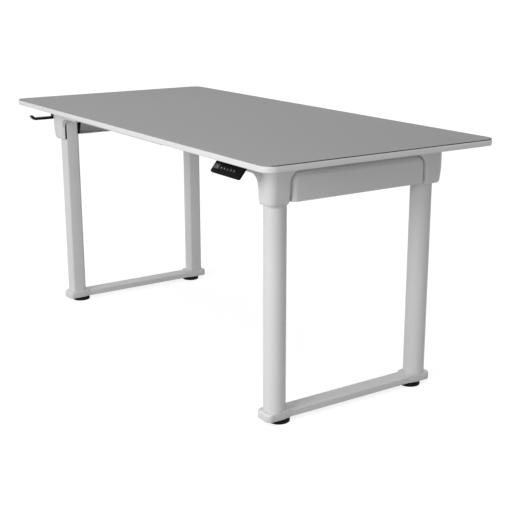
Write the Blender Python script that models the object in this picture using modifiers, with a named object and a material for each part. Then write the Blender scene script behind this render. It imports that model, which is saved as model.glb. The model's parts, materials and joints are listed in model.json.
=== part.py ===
"""Height adjustable standing desk: four telescopic columns under one top, driven by two motors.

Metres, +X along the length, -Y to the user's side, +Z up, origin on the floor under the middle of
the top. The desk stands at its lowest height.
"""

import math

import bmesh
import bpy
from mathutils import Matrix, Vector

# ---------------------------------------------------------------- driving dimensions
HEIGHT = 0.730  # floor to the working surface, lowest position
GAP = 0.0003  # clearance between pieces that seat on each other
INSIDE = 0.00005  # keeps faces that would coincide a hair apart

# Top
TOP_LENGTH = 1.600
TOP_DEPTH = 0.750
TOP_CORNER = 0.035
BOARD_THICKNESS = 0.016
SHEET_THICKNESS = 0.002
SHEET_INSET = 0.003
BOARD_EDGE = 0.003

# What the board rests on stands below it, and is measured down from its underside
BOARD_TOP = HEIGHT - SHEET_THICKNESS - GAP
BOARD_BOTTOM = BOARD_TOP - BOARD_THICKNESS
UNDER = BOARD_BOTTOM - GAP

# Columns: a round tube with one flat, which faces the middle of the desk
LEG_END_INSET = 0.158  # column axis from the end of the top
LEG_SIDE_INSET = 0.1285  # column axes from the long edges of the top, before the shift
FRAME_SHIFT = 0.004  # frame sits this far behind the middle of the top
OUTER_RADIUS = 0.0302
OUTER_FLAT_DEPTH = 0.0072  # cut away by the flat
OUTER_WALL = 0.0020
OUTER_TOP_DROP = 0.0464
GLIDE_SPACE = 0.0020  # between the outer and the inner tube
INNER_WALL = 0.0018
INNER_BOTTOM = 0.0800
GLIDE_LENGTH = 0.0400
GLIDE_PROUD = 0.0015
ARC_STEPS = 20

# Lift screws
SPINDLE_RADIUS = 0.0060
SPINDLE_BOTTOM = 0.1050
NUT_WALL = 0.0065
NUT_LENGTH = 0.0350
NUT_DROP = 0.0864
PUSH_ROOM = 0.0025  # round the screw, inside the tube that carries the nut
PUSH_WALL = 0.0025
THREAD_CLEARANCE = 0.0004

# Bevel gears and drive shaft
GEAR_RADIUS = 0.0125
GEAR_TIP = 0.0065
GEAR_BACKLASH = 0.0005
GEAR_HUB = 0.0025
SHAFT_RADIUS = 0.0045
SHAFT_DROP = 0.0194

# Base
RAIL_WIDTH = 0.051
RAIL_HEIGHT = 0.019
RAIL_WALL = 0.0020
RAIL_ROUND = 0.0026
FLOOR_CLEARANCE = 0.0135  # floor to the underside of the foot rails
CAP_NOSE = 0.0098  # cap beyond the column's front
CAP_TAIL = 0.0058  # cap beyond the column's back
CAP_CHEEK = 0.0002  # cap beyond the column's sides
CAP_STEP = 0.0035  # cap above the rail
CAP_CORNER = 0.0145
CAP_SLOPE = 0.0065
FOOT_RADIUS = 0.0305
FOOT_DISC = 0.0095
FOOT_NECK = 0.0090
FOOT_INSET = 0.0140  # levelling foot from the column axis, towards the middle
STUD_RADIUS = 0.0040
STUD_REACH = 0.0155
STUD_CLEARANCE = 0.0003

# Black liner between the column and the casting
LINER_CLEARANCE = 0.0008
LINER_WALL = 0.0040
LINER_FOOT_U = -0.0160  # inwards of this the liner runs down to the lip
LINER_BACK_DROP = 0.0964

# Corner castings, in the column's own u (outwards along X) and v (outwards along Y)
LIP_DROP = 0.1124
BRACKET_SIDE_WALL = 0.0082
BRACKET_FRONT_WALL = 0.0117
BRACKET_PROUD = 0.0010  # casting inwards of the column's flat
BRACKET_ROUND = 0.0260
SEAM_V = 0.0240  # bracket ends and apron starts this far inwards of the column axis
SEAM_ROUND = 0.0125
TAPER_DROP = 0.0689  # the casting narrows below this
TAPER = 0.0030
LIP_ROUND = 0.0120
LIP_REACH = 0.0075
LIP_CLEARANCE = 0.0016  # closer fit round the column, below the liner
LIP_BORE_DEPTH = 0.0080
ARM_LENGTH = 0.1415
ARM_WALL = 0.0040
ARM_FLOOR = 0.0030
ARM_FILLET = 0.0300
SIDE_ARM_REACH = 0.0600
SIDE_ARM_WIDTH = 0.0300
SIDE_ARM_ROUND = 0.0120
SIDE_ARM_ROOT = 0.0090

# Gearbox housings
BOX_DROP = 0.0434
BOX_FLOOR = 0.0082
BOX_ROOF = 0.0035
BOX_U = (-0.0260, 0.0300)
BOX_V = (-0.0225, 0.0300)
BOX_BOSS_U = 0.0125
BOX_BOSS_V = -0.0380
GEAR_ROOM = 0.0020

# End aprons
APRON_DROP = 0.0294
APRON_HEIGHT = 0.0764
APRON_CORNER = 0.0280
APRON_EDGE = 0.0160
APRON_WALL = 0.0025
APRON_DEPTH = 0.0225
SEAM = 0.0010

# Crossbeams: the left tube is the larger, the right one slides inside it
BEAM_V = (-0.0080, 0.0320)
BEAM_DROP = 0.0009
BEAM_HEIGHT = 0.0350
BEAM_WALL = 0.0022
BEAM_CLEARANCE = 0.0004
BEAM_START = 0.0450  # beam end from the column axis
BEAM_LAP = 0.1000  # each tube passes the middle by this much

# Motors and control box
MOTOR_RADIUS = 0.0213
MOTOR_LENGTH = 0.0950
MOTOR_OFFSET = 0.0520
HEAD_HALF = 0.0300
HEAD_HEIGHT = 0.0474
CONTROL_SIZE = (0.240, 0.100, 0.035)
CONTROL_Y = 0.100
CONTROL_WALL = 0.0025
BOARD_PCB = 0.0016
PCB_DROP = 0.0144

# Handset, whose x is measured from its own left end
HANDSET_END = 0.125  # right end from the end of the top
HANDSET_LENGTH = 0.133
FACE_INSET = 0.0265  # top of the face from the front edge of the top
FACE_LEAN = 0.0253
FACE_DROP = 0.0314
HANDSET_THICKNESS = 0.0062
HANDSET_CORNER = 0.0032
HANDSET_EDGE = 0.0007
MOUNT_SPAN = (0.033, 0.098)
MOUNT_DEPTH = (0.0035, 0.0255)  # behind the top of the face
MOUNT_THICKNESS = 0.0040
KEY_COUNT = 5
KEY_FIRST = 0.0400
KEY_PITCH = 0.0147
KEY_ALONG = 0.0234  # key centres, down the face from its top edge
KEY_WIDTH = 0.0110
KEY_HEIGHT = 0.0090
KEY_BODY = 0.0030
KEY_PROUD = 0.0006
KEY_TRAVEL = 0.0010
DISPLAY_SPAN = (0.005, 0.029)
DISPLAY_ALONG = (0.0150, 0.0285)
DISPLAY_THICKNESS = 0.0015

# Headphone hook
HOOK_END = 0.0850  # hook's middle from the end of the top
HOOK_WIDTH = 0.0220
HOOK_THICKNESS = 0.0085
HOOK_INSET = 0.1080  # back of the upright from the front edge of the top
HOOK_REACH = 0.0750
HOOK_DROP = 0.0416
HOOK_TIP = 0.0150
HOOK_PLATE = 0.0350

# ---------------------------------------------------------------- values worked out from them
SHEET_BOTTOM = HEIGHT - SHEET_THICKNESS
LEG_X = TOP_LENGTH / 2 - LEG_END_INSET
LEG_SPACING = TOP_DEPTH - 2 * LEG_SIDE_INSET
OUTER_TOP = UNDER - OUTER_TOP_DROP
OUTER_FLAT = OUTER_RADIUS - OUTER_FLAT_DEPTH
INNER_RADIUS = OUTER_RADIUS - OUTER_WALL - GLIDE_SPACE
INNER_FLAT = OUTER_FLAT - (OUTER_RADIUS - INNER_RADIUS)
NUT_RADIUS = SPINDLE_RADIUS + NUT_WALL
NUT_TOP = UNDER - NUT_DROP
PUSH_BORE = SPINDLE_RADIUS + PUSH_ROOM
PUSH_RADIUS = PUSH_BORE + PUSH_WALL
SHAFT_HEIGHT = UNDER - SHAFT_DROP
RAIL_TOP = FLOOR_CLEARANCE + RAIL_HEIGHT
CAP_FRONT = OUTER_RADIUS + CAP_NOSE
CAP_BACK = OUTER_RADIUS + CAP_TAIL
CAP_SIDE = OUTER_RADIUS + CAP_CHEEK
CAP_TOP = RAIL_TOP + CAP_STEP
STUD_TOP = FLOOR_CLEARANCE + STUD_REACH
COLLAR_BORE = OUTER_RADIUS + LINER_CLEARANCE
COLLAR_RADIUS = COLLAR_BORE + LINER_WALL
COLLAR_BACK_BOTTOM = UNDER - LINER_BACK_DROP
BORE_RADIUS = COLLAR_RADIUS + GAP
LIP = UNDER - LIP_DROP
LIP_BORE = OUTER_RADIUS + LIP_CLEARANCE
BRACKET_OUT = BORE_RADIUS + BRACKET_SIDE_WALL
BRACKET_FRONT = BORE_RADIUS + BRACKET_FRONT_WALL
BRACKET_IN = OUTER_FLAT + BRACKET_PROUD
TAPER_TOP = UNDER - TAPER_DROP
BEAM_TOP = UNDER - BEAM_DROP
BEAM_BOTTOM = BEAM_TOP - BEAM_HEIGHT
ARM_BOTTOM = BEAM_BOTTOM - ARM_FLOOR
ARM_V = (BEAM_V[0] - ARM_WALL, BEAM_V[1] + ARM_WALL)
BOX_BOTTOM = UNDER - BOX_DROP
BOX_FLOOR_TOP = BOX_BOTTOM + BOX_FLOOR
GEAR_BOTTOM = BOX_FLOOR_TOP + GAP
CAVITY_HALF = GEAR_RADIUS + GEAR_ROOM
COLLAR_TOP = BOX_BOTTOM + BOX_FLOOR / 2
APRON_TOP = UNDER - APRON_DROP
APRON_BOTTOM = APRON_TOP - APRON_HEIGHT
SIDE_ARM_U = BRACKET_OUT - SIDE_ARM_WIDTH
SIDE_ARM_BOTTOM = APRON_TOP - APRON_CORNER - SIDE_ARM_ROOT
HEAD_BOTTOM = UNDER - HEAD_HEIGHT
PCB_BOTTOM = UNDER - PCB_DROP
HANDSET_X = (TOP_LENGTH / 2 - HANDSET_END - HANDSET_LENGTH, TOP_LENGTH / 2 - HANDSET_END)
FACE_TOP_Y = FACE_INSET - TOP_DEPTH / 2
FACE_LOW = (FACE_TOP_Y - FACE_LEAN, UNDER - FACE_DROP)
MOUNT_X = (HANDSET_X[0] + MOUNT_SPAN[0], HANDSET_X[0] + MOUNT_SPAN[1])
MOUNT_Y = (FACE_TOP_Y + MOUNT_DEPTH[0], FACE_TOP_Y + MOUNT_DEPTH[1])
KEY_FIRST_X = HANDSET_X[0] + KEY_FIRST
DISPLAY_X = (HANDSET_X[0] + DISPLAY_SPAN[0], HANDSET_X[0] + DISPLAY_SPAN[1])
HOOK_X = HOOK_END - TOP_LENGTH / 2
HOOK_UPRIGHT_Y = HOOK_INSET - TOP_DEPTH / 2
HOOK_ARM_TOP = UNDER - HOOK_DROP
HOOK_PLATE_BACK = HOOK_UPRIGHT_Y + HOOK_PLATE


def leg_y(side):
    """World y of a column axis: side -1 is the front, +1 the rear."""
    return FRAME_SHIFT + side * LEG_SPACING / 2


class Corner:
    """One column's place, with its own u and v directions pointing away from the middle."""

    def __init__(self, end, side):
        self.end = end
        self.side = side
        self.x = end * LEG_X
        self.y = leg_y(side)
        self.name = f"{'front' if side < 0 else 'rear'}_{'left' if end < 0 else 'right'}"

    def at(self, u, v):
        return (self.x + self.end * u, self.y + self.side * v)

    def span_x(self, u_low, u_high):
        return sorted((self.x + self.end * u_low, self.x + self.end * u_high))

    def span_y(self, v_low, v_high):
        return sorted((self.y + self.side * v_low, self.y + self.side * v_high))


CORNERS = [Corner(end, side) for end in (-1, 1) for side in (-1, 1)]


# ---------------------------------------------------------------- scene and materials
def clear_scene():
    for obj in list(bpy.data.objects):
        bpy.data.objects.remove(obj, do_unlink=True)


def new_collection(name):
    collection = bpy.data.collections.new(name)
    bpy.context.scene.collection.children.link(collection)
    return collection


clear_scene()
PARTS = new_collection("standing_desk")
CUTTERS = new_collection("cutters")


def make_material(name, colour, roughness, metallic=0.0):
    material = bpy.data.materials.new(name)
    material.use_nodes = True
    shader = material.node_tree.nodes["Principled BSDF"]
    shader.inputs["Base Color"].default_value = (*colour, 1.0)
    shader.inputs["Roughness"].default_value = roughness
    shader.inputs["Metallic"].default_value = metallic
    material.diffuse_color = (*colour, 1.0)
    return material


WHITE_BOARD = make_material("white_melamine", (0.80, 0.80, 0.80), 0.45)
GREY_SHEET = make_material("grey_surface_sheet", (0.30, 0.30, 0.30), 0.60)
GREY_PAINT = make_material("pale_grey_powder_coat", (0.69, 0.69, 0.69), 0.48)
DARK_PLASTIC = make_material("black_plastic", (0.020, 0.020, 0.020), 0.50)
BLACK_STEEL = make_material("black_painted_steel", (0.018, 0.018, 0.018), 0.40)
BRIGHT_STEEL = make_material("bright_steel", (0.55, 0.55, 0.56), 0.30, 1.0)
DARK_GLASS = make_material("display_window", (0.030, 0.032, 0.035), 0.12)
KEY_PLASTIC = make_material("key_plastic", (0.035, 0.035, 0.036), 0.42)
NATURAL_NYLON = make_material("natural_nylon", (0.75, 0.73, 0.68), 0.45)
CIRCUIT = make_material("circuit_board", (0.02, 0.16, 0.07), 0.45)


# ---------------------------------------------------------------- outlines
def arc(centre, radius, start, end, steps=ARC_STEPS):
    """Points of an arc, angles in degrees, ends included."""
    points = []
    for i in range(steps + 1):
        angle = math.radians(start + (end - start) * i / steps)
        points.append((centre[0] + radius * math.cos(angle), centre[1] + radius * math.sin(angle)))
    return points


def rounded_rectangle(low, high, radius, steps=6):
    x0, y0 = low
    x1, y1 = high
    return (
        arc((x1 - radius, y0 + radius), radius, -90, 0, steps)
        + arc((x1 - radius, y1 - radius), radius, 0, 90, steps)
        + arc((x0 + radius, y1 - radius), radius, 90, 180, steps)
        + arc((x0 + radius, y0 + radius), radius, 180, 270, steps)
    )


def rectangle(low, high):
    return [(low[0], low[1]), (high[0], low[1]), (high[0], high[1]), (low[0], high[1])]


def column_outline(corner, radius, flat):
    """A circle cut by a flat on the side that faces the middle of the desk."""
    half = math.degrees(math.acos(-flat / radius))
    return [corner.at(u, v) for u, v in arc((0, 0), radius, -half, half)]


# ---------------------------------------------------------------- solids
def link(obj, material, collection=None):
    (collection or PARTS).objects.link(obj)
    if material:
        obj.data.materials.append(material)
    return obj


def smooth(mesh):
    mesh.shade_smooth()
    mesh.set_sharp_from_angle(angle=math.radians(30))


def mesh_object(name, mesh, material, collection=None):
    obj = bpy.data.objects.new(name, mesh)
    link(obj, material, collection)
    return obj


# How an outline's own plane lies in the world, for an extrusion along each axis
TURNS = {
    "Z": Matrix.Identity(3),
    "Y": Matrix(((1, 0, 0), (0, 0, -1), (0, 1, 0))),
    "X": Matrix(((0, 0, 1), (1, 0, 0), (0, 1, 0))),
}


def prism_mesh(name, loops, axis, low, high):
    """An outline, with any holes, extruded from low to high along an axis.

    Loops lie in (x, y) for Z, in (x, z) for Y and in (y, z) for X.
    """
    curve = bpy.data.curves.new(name + "_outline", "CURVE")
    curve.dimensions = "2D"
    curve.fill_mode = "BOTH"
    curve.extrude = (high - low) / 2
    for points in loops:
        spline = curve.splines.new("POLY")
        spline.points.add(len(points) - 1)
        for point, (a, b) in zip(spline.points, points):
            point.co = (a, b, 0, 1)
        spline.use_cyclic_u = True
    outline = bpy.data.objects.new(curve.name, curve)
    CUTTERS.objects.link(outline)
    bpy.context.view_layer.update()
    graph = bpy.context.evaluated_depsgraph_get()
    mesh = bpy.data.meshes.new_from_object(outline.evaluated_get(graph))
    bpy.data.objects.remove(outline, do_unlink=True)
    mesh.name = name
    shift = TURNS[axis] @ Vector((0, 0, 1)) * (low + high) / 2
    if axis == "Y":
        shift = -shift
    mesh.transform(TURNS[axis].to_4x4())
    mesh.transform(Matrix.Translation(shift))
    bm = bmesh.new()
    bm.from_mesh(mesh)
    bmesh.ops.remove_doubles(bm, verts=bm.verts, dist=1e-6)
    bmesh.ops.recalc_face_normals(bm, faces=bm.faces)
    bm.to_mesh(mesh)
    bm.free()
    return mesh


def prism(name, loops, axis, low, high, material, collection=None):
    return mesh_object(name, prism_mesh(name, loops, axis, low, high), material, collection)


def loft(name, rings, material=None, collection=None):
    """A solid through closed rings of equally many points, closed over the first and the last."""
    mesh = bpy.data.meshes.new(name)
    bm = bmesh.new()
    rows = [[bm.verts.new(point) for point in ring] for ring in rings]
    for low, high in zip(rows, rows[1:]):
        for i in range(len(low)):
            j = (i + 1) % len(low)
            bm.faces.new((low[i], low[j], high[j], high[i]))
    bm.faces.new(rows[0])
    bm.faces.new(rows[-1])
    bmesh.ops.recalc_face_normals(bm, faces=bm.faces)
    bm.to_mesh(mesh)
    bm.free()
    return mesh_object(name, mesh, material, collection)


def block(name, low, high, material=None, collection=None):
    """A box between two corners, from the cube primitive."""
    mesh = bpy.data.meshes.new(name)
    bm = bmesh.new()
    size = [b - a for a, b in zip(low, high)]
    middle = [(a + b) / 2 for a, b in zip(low, high)]
    bmesh.ops.create_cube(bm, size=1.0, matrix=Matrix.Translation(middle) @ Matrix.Diagonal((*size, 1)))
    bm.to_mesh(mesh)
    bm.free()
    return mesh_object(name, mesh, material, collection)


def cylinder(name, centre, radius, low, high, axis="Z", steps=32, material=None, collection=None):
    """A cylinder between low and high on an axis through centre, given as the other two values."""
    mesh = bpy.data.meshes.new(name)
    bm = bmesh.new()
    place = {
        "Z": Matrix.Translation((centre[0], centre[1], (low + high) / 2)),
        "Y": Matrix.Translation((centre[0], (low + high) / 2, centre[1])) @ Matrix.Rotation(math.pi / 2, 4, "X"),
    }[axis]
    bmesh.ops.create_cone(
        bm, cap_ends=True, segments=steps, radius1=radius, radius2=radius, depth=high - low, matrix=place
    )
    bm.to_mesh(mesh)
    bm.free()
    return mesh_object(name, mesh, material, collection)


def turned(name, profile, place, material, steps=24):
    """A profile of (radius, height), running down its outer side, turned about Z at place."""
    mesh = bpy.data.meshes.new(name)
    bm = bmesh.new()
    verts = [bm.verts.new((r, 0, z)) for r, z in profile]
    closed = profile[0][0] > 0 and profile[-1][0] > 0
    count = len(verts)
    for i in range(count if closed else count - 1):
        bm.edges.new((verts[i], verts[(i + 1) % count]))
    bm.to_mesh(mesh)
    bm.free()
    obj = mesh_object(name, mesh, material)
    obj.location = place
    screw = obj.modifiers.new("turn", "SCREW")
    screw.axis = "Z"
    screw.steps = steps
    screw.render_steps = steps
    screw.use_merge_vertices = True
    screw.merge_threshold = 0.00001
    screw.use_smooth_shade = True
    return obj


def cut(obj, cutter, operation="DIFFERENCE"):
    """Adds a Boolean, and puts what it uses out of sight among the cutters."""
    modifier = obj.modifiers.new(f"{operation.lower()}_{cutter.name}", "BOOLEAN")
    modifier.operation = operation
    modifier.object = cutter
    modifier.solver = "EXACT"
    cutter.hide_render = True
    cutter.display_type = "WIRE"
    return obj


def bevel(obj, width, segments=2, weighted=False, angle=50):
    modifier = obj.modifiers.new("rounded_edges", "BEVEL")
    modifier.width = width
    modifier.segments = segments
    modifier.limit_method = "WEIGHT" if weighted else "ANGLE"
    modifier.angle_limit = math.radians(angle)
    return modifier


def weight_edges(mesh, chosen):
    """Merges flat faces, then marks for the bevel the sharp edges that satisfy chosen(edge)."""
    bm = bmesh.new()
    bm.from_mesh(mesh)
    bmesh.ops.dissolve_limit(bm, angle_limit=math.radians(1), verts=bm.verts, edges=bm.edges)
    layer = bm.edges.layers.float.new("bevel_weight_edge")
    for edge in bm.edges:
        sharp = len(edge.link_faces) == 1 or edge.calc_face_angle(0) > math.radians(50)
        edge[layer] = 1.0 if sharp and chosen(edge) else 0.0
    bm.to_mesh(mesh)
    bm.free()


def set_origin(obj, point):
    """Moves an object's origin in the world and leaves its shape where it is."""
    shift = Vector(point) - obj.location
    obj.data.transform(Matrix.Translation(-shift))
    obj.location = Vector(point)


# ---------------------------------------------------------------- top
def make_top():
    half = (TOP_LENGTH / 2, TOP_DEPTH / 2)
    outline = rounded_rectangle((-half[0], -half[1]), half, TOP_CORNER)
    board = prism("desktop_board", [outline], "Z", BOARD_BOTTOM, BOARD_TOP, WHITE_BOARD)
    bevel(board, BOARD_EDGE)
    inner = (half[0] - SHEET_INSET, half[1] - SHEET_INSET)
    outline = rounded_rectangle((-inner[0], -inner[1]), inner, TOP_CORNER - SHEET_INSET)
    sheet = prism("desktop_surface_sheet", [outline], "Z", SHEET_BOTTOM, HEIGHT, GREY_SHEET)
    return [board, sheet]


# ---------------------------------------------------------------- base
def make_outer_tube(corner):
    loops = [
        column_outline(corner, OUTER_RADIUS, OUTER_FLAT),
        column_outline(corner, OUTER_RADIUS - OUTER_WALL, OUTER_FLAT - OUTER_WALL),
    ]
    return prism(f"outer_tube_{corner.name}", loops, "Z", CAP_TOP + GAP, OUTER_TOP, GREY_PAINT)


def make_glide(corner):
    """The plastic sleeve that is pressed into the top of the outer tube."""
    outside = OUTER_WALL + GAP
    inside = OUTER_RADIUS - INNER_RADIUS - GAP
    loops = [
        column_outline(corner, OUTER_RADIUS - outside, OUTER_FLAT - outside),
        column_outline(corner, OUTER_RADIUS - inside, OUTER_FLAT - inside),
    ]
    bottom = OUTER_TOP - GLIDE_LENGTH
    return prism(f"glide_sleeve_{corner.name}", loops, "Z", bottom, OUTER_TOP + GLIDE_PROUD, NATURAL_NYLON)


def make_push_tube(corner):
    """The fixed tube that carries the lift nut at its top end."""
    nut_bore = SPINDLE_RADIUS + THREAD_CLEARANCE
    nut_bottom = NUT_TOP - NUT_LENGTH
    profile = [
        (NUT_RADIUS, NUT_TOP),
        (NUT_RADIUS, nut_bottom),
        (PUSH_RADIUS, nut_bottom),
        (PUSH_RADIUS, CAP_TOP + GAP),
        (PUSH_BORE, CAP_TOP + GAP),
        (PUSH_BORE, nut_bottom),
        (nut_bore, nut_bottom),
        (nut_bore, NUT_TOP),
    ]
    return turned(f"nut_tube_{corner.name}", profile, (corner.x, corner.y, 0), BRIGHT_STEEL)


def cap_outline(slope):
    """The cap's plan in u and v: slope from 0 to 1 draws in the part in front of the column."""
    side, front, back, r = CAP_SIDE, CAP_FRONT, CAP_BACK, CAP_CORNER
    tail = RAIL_WIDTH / 2 + GAP
    outline = [(side, -back / 3)] + arc((side - r, front - r), r, 0, 90, 6)
    outline += arc((r - side, front - r), r, 90, 180, 6) + [(-side, -back / 3), (-tail, -back), (tail, -back)]
    drawn = []
    for u, v in outline:
        share = slope * min(max(v / (front - r), 0), 1)
        drawn.append((u * (1 - share * CAP_SLOPE / side / 2), v * (1 - share * CAP_SLOPE / front)))
    return drawn


def make_foot_cap(corner):
    rings = []
    for slope, z in ((0, FLOOR_CLEARANCE), (0, CAP_TOP - CAP_SLOPE), (0.3, CAP_TOP - CAP_SLOPE / 3), (1, CAP_TOP)):
        rings.append([(*corner.at(u, v), z) for u, v in cap_outline(slope)])
    cap = loft(f"foot_cap_{corner.name}", rings, GREY_PAINT)
    hole_top = STUD_TOP + STUD_CLEARANCE * 5
    place = corner.at(0, -FOOT_INSET)
    hole = cylinder(f"stud_hole_{corner.name}", place, STUD_RADIUS + STUD_CLEARANCE, 0, hole_top, collection=CUTTERS)
    return cut(cap, hole)


def make_levelling_foot(corner):
    edge = 0.0030
    neck_top = FLOOR_CLEARANCE - GAP
    profile = [
        (0, STUD_TOP),
        (STUD_RADIUS, STUD_TOP),
        (STUD_RADIUS, neck_top),
        (FOOT_NECK, neck_top),
        (FOOT_NECK, FOOT_DISC),
        (FOOT_RADIUS - edge, FOOT_DISC),
        (FOOT_RADIUS, FOOT_DISC - edge),
        (FOOT_RADIUS, edge / 2),
        (FOOT_RADIUS - edge / 2, 0),
        (0, 0),
    ]
    return turned(f"levelling_foot_{corner.name}", profile, (*corner.at(0, -FOOT_INSET), 0), DARK_PLASTIC)


def make_foot_rail(end):
    middle = end * LEG_X
    half = RAIL_WIDTH / 2
    outer = rounded_rectangle((middle - half, FLOOR_CLEARANCE), (middle + half, RAIL_TOP), RAIL_ROUND, 3)
    wall = RAIL_WALL
    inner = rounded_rectangle(
        (middle - half + wall, FLOOR_CLEARANCE + wall), (middle + half - wall, RAIL_TOP - wall), RAIL_ROUND - wall, 3
    )
    start = leg_y(-1) + CAP_BACK + GAP
    stop = leg_y(1) - CAP_BACK - GAP
    name = f"foot_rail_{'left' if end < 0 else 'right'}"
    return prism(name, [outer, inner], "Y", start, stop, GREY_PAINT)


# ---------------------------------------------------------------- lifting frame
def make_inner_tube(corner):
    loops = [
        column_outline(corner, INNER_RADIUS, INNER_FLAT),
        column_outline(corner, INNER_RADIUS - INNER_WALL, INNER_FLAT - INNER_WALL),
    ]
    return prism(f"inner_tube_{corner.name}", loops, "Z", INNER_BOTTOM, BOX_BOTTOM - GAP, GREY_PAINT)


def make_spindle(corner):
    """The lift screw, with its bevel gear at the top. Its origin lies on its axis."""
    cone_top = SHAFT_HEIGHT - GEAR_TIP - GEAR_BACKLASH
    cone_bottom = SHAFT_HEIGHT - GEAR_RADIUS - GEAR_BACKLASH
    profile = [
        (0, cone_top),
        (GEAR_TIP, cone_top),
        (GEAR_RADIUS, cone_bottom),
        (GEAR_RADIUS, GEAR_BOTTOM),
        (SPINDLE_RADIUS, GEAR_BOTTOM),
        (SPINDLE_RADIUS, SPINDLE_BOTTOM),
        (0, SPINDLE_BOTTOM),
    ]
    return turned(f"lift_spindle_{corner.name}", profile, (corner.x, corner.y, 0), BRIGHT_STEEL)


def make_drive_shaft(end):
    """The cross shaft of one pair of columns, with a bevel pinion on each end."""
    half = LEG_SPACING / 2
    tip = half - GEAR_TIP - GEAR_BACKLASH
    cone = half - GEAR_RADIUS - GEAR_BACKLASH
    hub = cone - GEAR_HUB
    profile = [
        (0, tip),
        (GEAR_TIP, tip),
        (GEAR_RADIUS, cone),
        (GEAR_RADIUS, hub),
        (SHAFT_RADIUS, hub),
        (SHAFT_RADIUS, -hub),
        (GEAR_RADIUS, -hub),
        (GEAR_RADIUS, -cone),
        (GEAR_TIP, -tip),
        (0, -tip),
    ]
    name = f"drive_shaft_{'left' if end < 0 else 'right'}"
    shaft = turned(name, profile, (end * LEG_X, FRAME_SHIFT, SHAFT_HEIGHT), BRIGHT_STEEL)
    shaft.rotation_euler = (math.pi / 2, 0, 0)
    return shaft


def make_gearbox(corner):
    """Black housing over the bevel gears, with the collar that surrounds the outer tube."""
    x0, x1 = corner.span_x(*BOX_U)
    y0, y1 = corner.span_y(*BOX_V)
    name = f"gearbox_{corner.name}"
    box = block(name, (x0, y0, BOX_BOTTOM), (x1, y1, UNDER), DARK_PLASTIC)
    # boss round the drive shaft
    bx0, bx1 = corner.span_x(BOX_U[0], BOX_BOSS_U)
    by0, by1 = corner.span_y(BOX_BOSS_V, 0)
    cut(box, block(f"boss_{corner.name}", (bx0, by0, BOX_BOTTOM), (bx1, by1, UNDER), None, CUTTERS), "UNION")
    # collar, as a full plug that the bore then opens
    half = math.degrees(math.acos(-OUTER_FLAT / COLLAR_RADIUS))
    plug = [corner.at(u, v) for u, v in arc((0, 0), COLLAR_RADIUS, -half, half)]
    cut(box, prism(f"collar_{corner.name}", [plug], "Z", LIP + GAP, COLLAR_TOP, None, CUTTERS), "UNION")
    # tapering cheek between the collar and the apron
    low = COLLAR_BACK_BOTTOM
    cheek = [(-0.022, COLLAR_TOP), (BOX_BOSS_V, COLLAR_TOP), (-0.028, low), (-0.022, low)]
    cheek = [(corner.at(0, v)[1], z) for v, z in cheek]
    ux0, ux1 = corner.span_x(-OUTER_FLAT, BOX_BOSS_U)
    cut(box, prism(f"cheek_{corner.name}", [cheek], "X", ux0, ux1, None, CUTTERS), "UNION")
    # openings
    centre = (corner.x, corner.y)
    cut(box, cylinder(f"collar_bore_{corner.name}", centre, COLLAR_BORE, LIP - 0.01, BOX_BOTTOM, collection=CUTTERS))
    lx0, lx1 = corner.span_x(LINER_FOOT_U - GAP, BORE_RADIUS + GAP)
    ly0, ly1 = corner.span_y(-BORE_RADIUS - GAP, BORE_RADIUS + GAP)
    foot_top = LIP + LIP_BORE_DEPTH + GAP
    cut(box, block(f"liner_foot_{corner.name}", (lx0, ly0, LIP - 0.01), (lx1, ly1, foot_top), None, CUTTERS))
    fx0, fx1 = corner.span_x(-BORE_RADIUS, -OUTER_FLAT)
    fy0, fy1 = corner.span_y(-BORE_RADIUS - 0.02, BORE_RADIUS)
    cut(box, block(f"collar_mouth_{corner.name}", (fx0, fy0, LIP - 0.01), (fx1, fy1, BOX_BOTTOM), None, CUTTERS))
    gx0, gx1 = corner.span_x(-BORE_RADIUS, BORE_RADIUS)
    gy0, gy1 = corner.span_y(-BORE_RADIUS, -BOX_BOSS_U)
    cut(box, block(f"collar_back_{corner.name}", (gx0, gy0, LIP - 0.01), (gx1, gy1, low), None, CUTTERS))
    ax0, ax1 = corner.span_x(BOX_BOSS_U, BORE_RADIUS + GAP)
    ay0, ay1 = corner.span_y(-BORE_RADIUS - GAP, -SEAM_V + GAP)
    cut(box, block(f"apron_room_{corner.name}", (ax0, ay0, LIP - 0.01), (ax1, ay1, HEIGHT), None, CUTTERS))
    cx0, cx1 = corner.span_x(-CAVITY_HALF, CAVITY_HALF)
    cy0, cy1 = corner.span_y(-CAVITY_HALF - GEAR_HUB, CAVITY_HALF)
    roof = UNDER - BOX_ROOF
    cut(box, block(f"gear_space_{corner.name}", (cx0, cy0, BOX_FLOOR_TOP), (cx1, cy1, roof), None, CUTTERS))
    radius = SPINDLE_RADIUS + THREAD_CLEARANCE
    cut(box, cylinder(f"spindle_hole_{corner.name}", centre, radius, BOX_BOTTOM - 0.01, BOX_FLOOR_TOP + GAP, collection=CUTTERS))
    sy0, sy1 = corner.span_y(BOX_BOSS_V - 0.01, 0)
    radius = SHAFT_RADIUS + THREAD_CLEARANCE
    place = (corner.x, SHAFT_HEIGHT)
    cut(box, cylinder(f"shaft_hole_{corner.name}", place, radius, sy0, sy1, "Y", collection=CUTTERS))
    return box


def beam_section(end, side):
    """Outer (low, high) corners in y and z of a crossbeam tube, and its wall."""
    if end < 0:
        inset = 0.0
    else:
        inset = BEAM_WALL + BEAM_CLEARANCE
    low_v, high_v = BEAM_V[0] + inset, BEAM_V[1] - inset
    y0, y1 = sorted((leg_y(side) + side * low_v, leg_y(side) + side * high_v))
    return (y0, BEAM_BOTTOM + inset), (y1, BEAM_TOP - inset)


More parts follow.
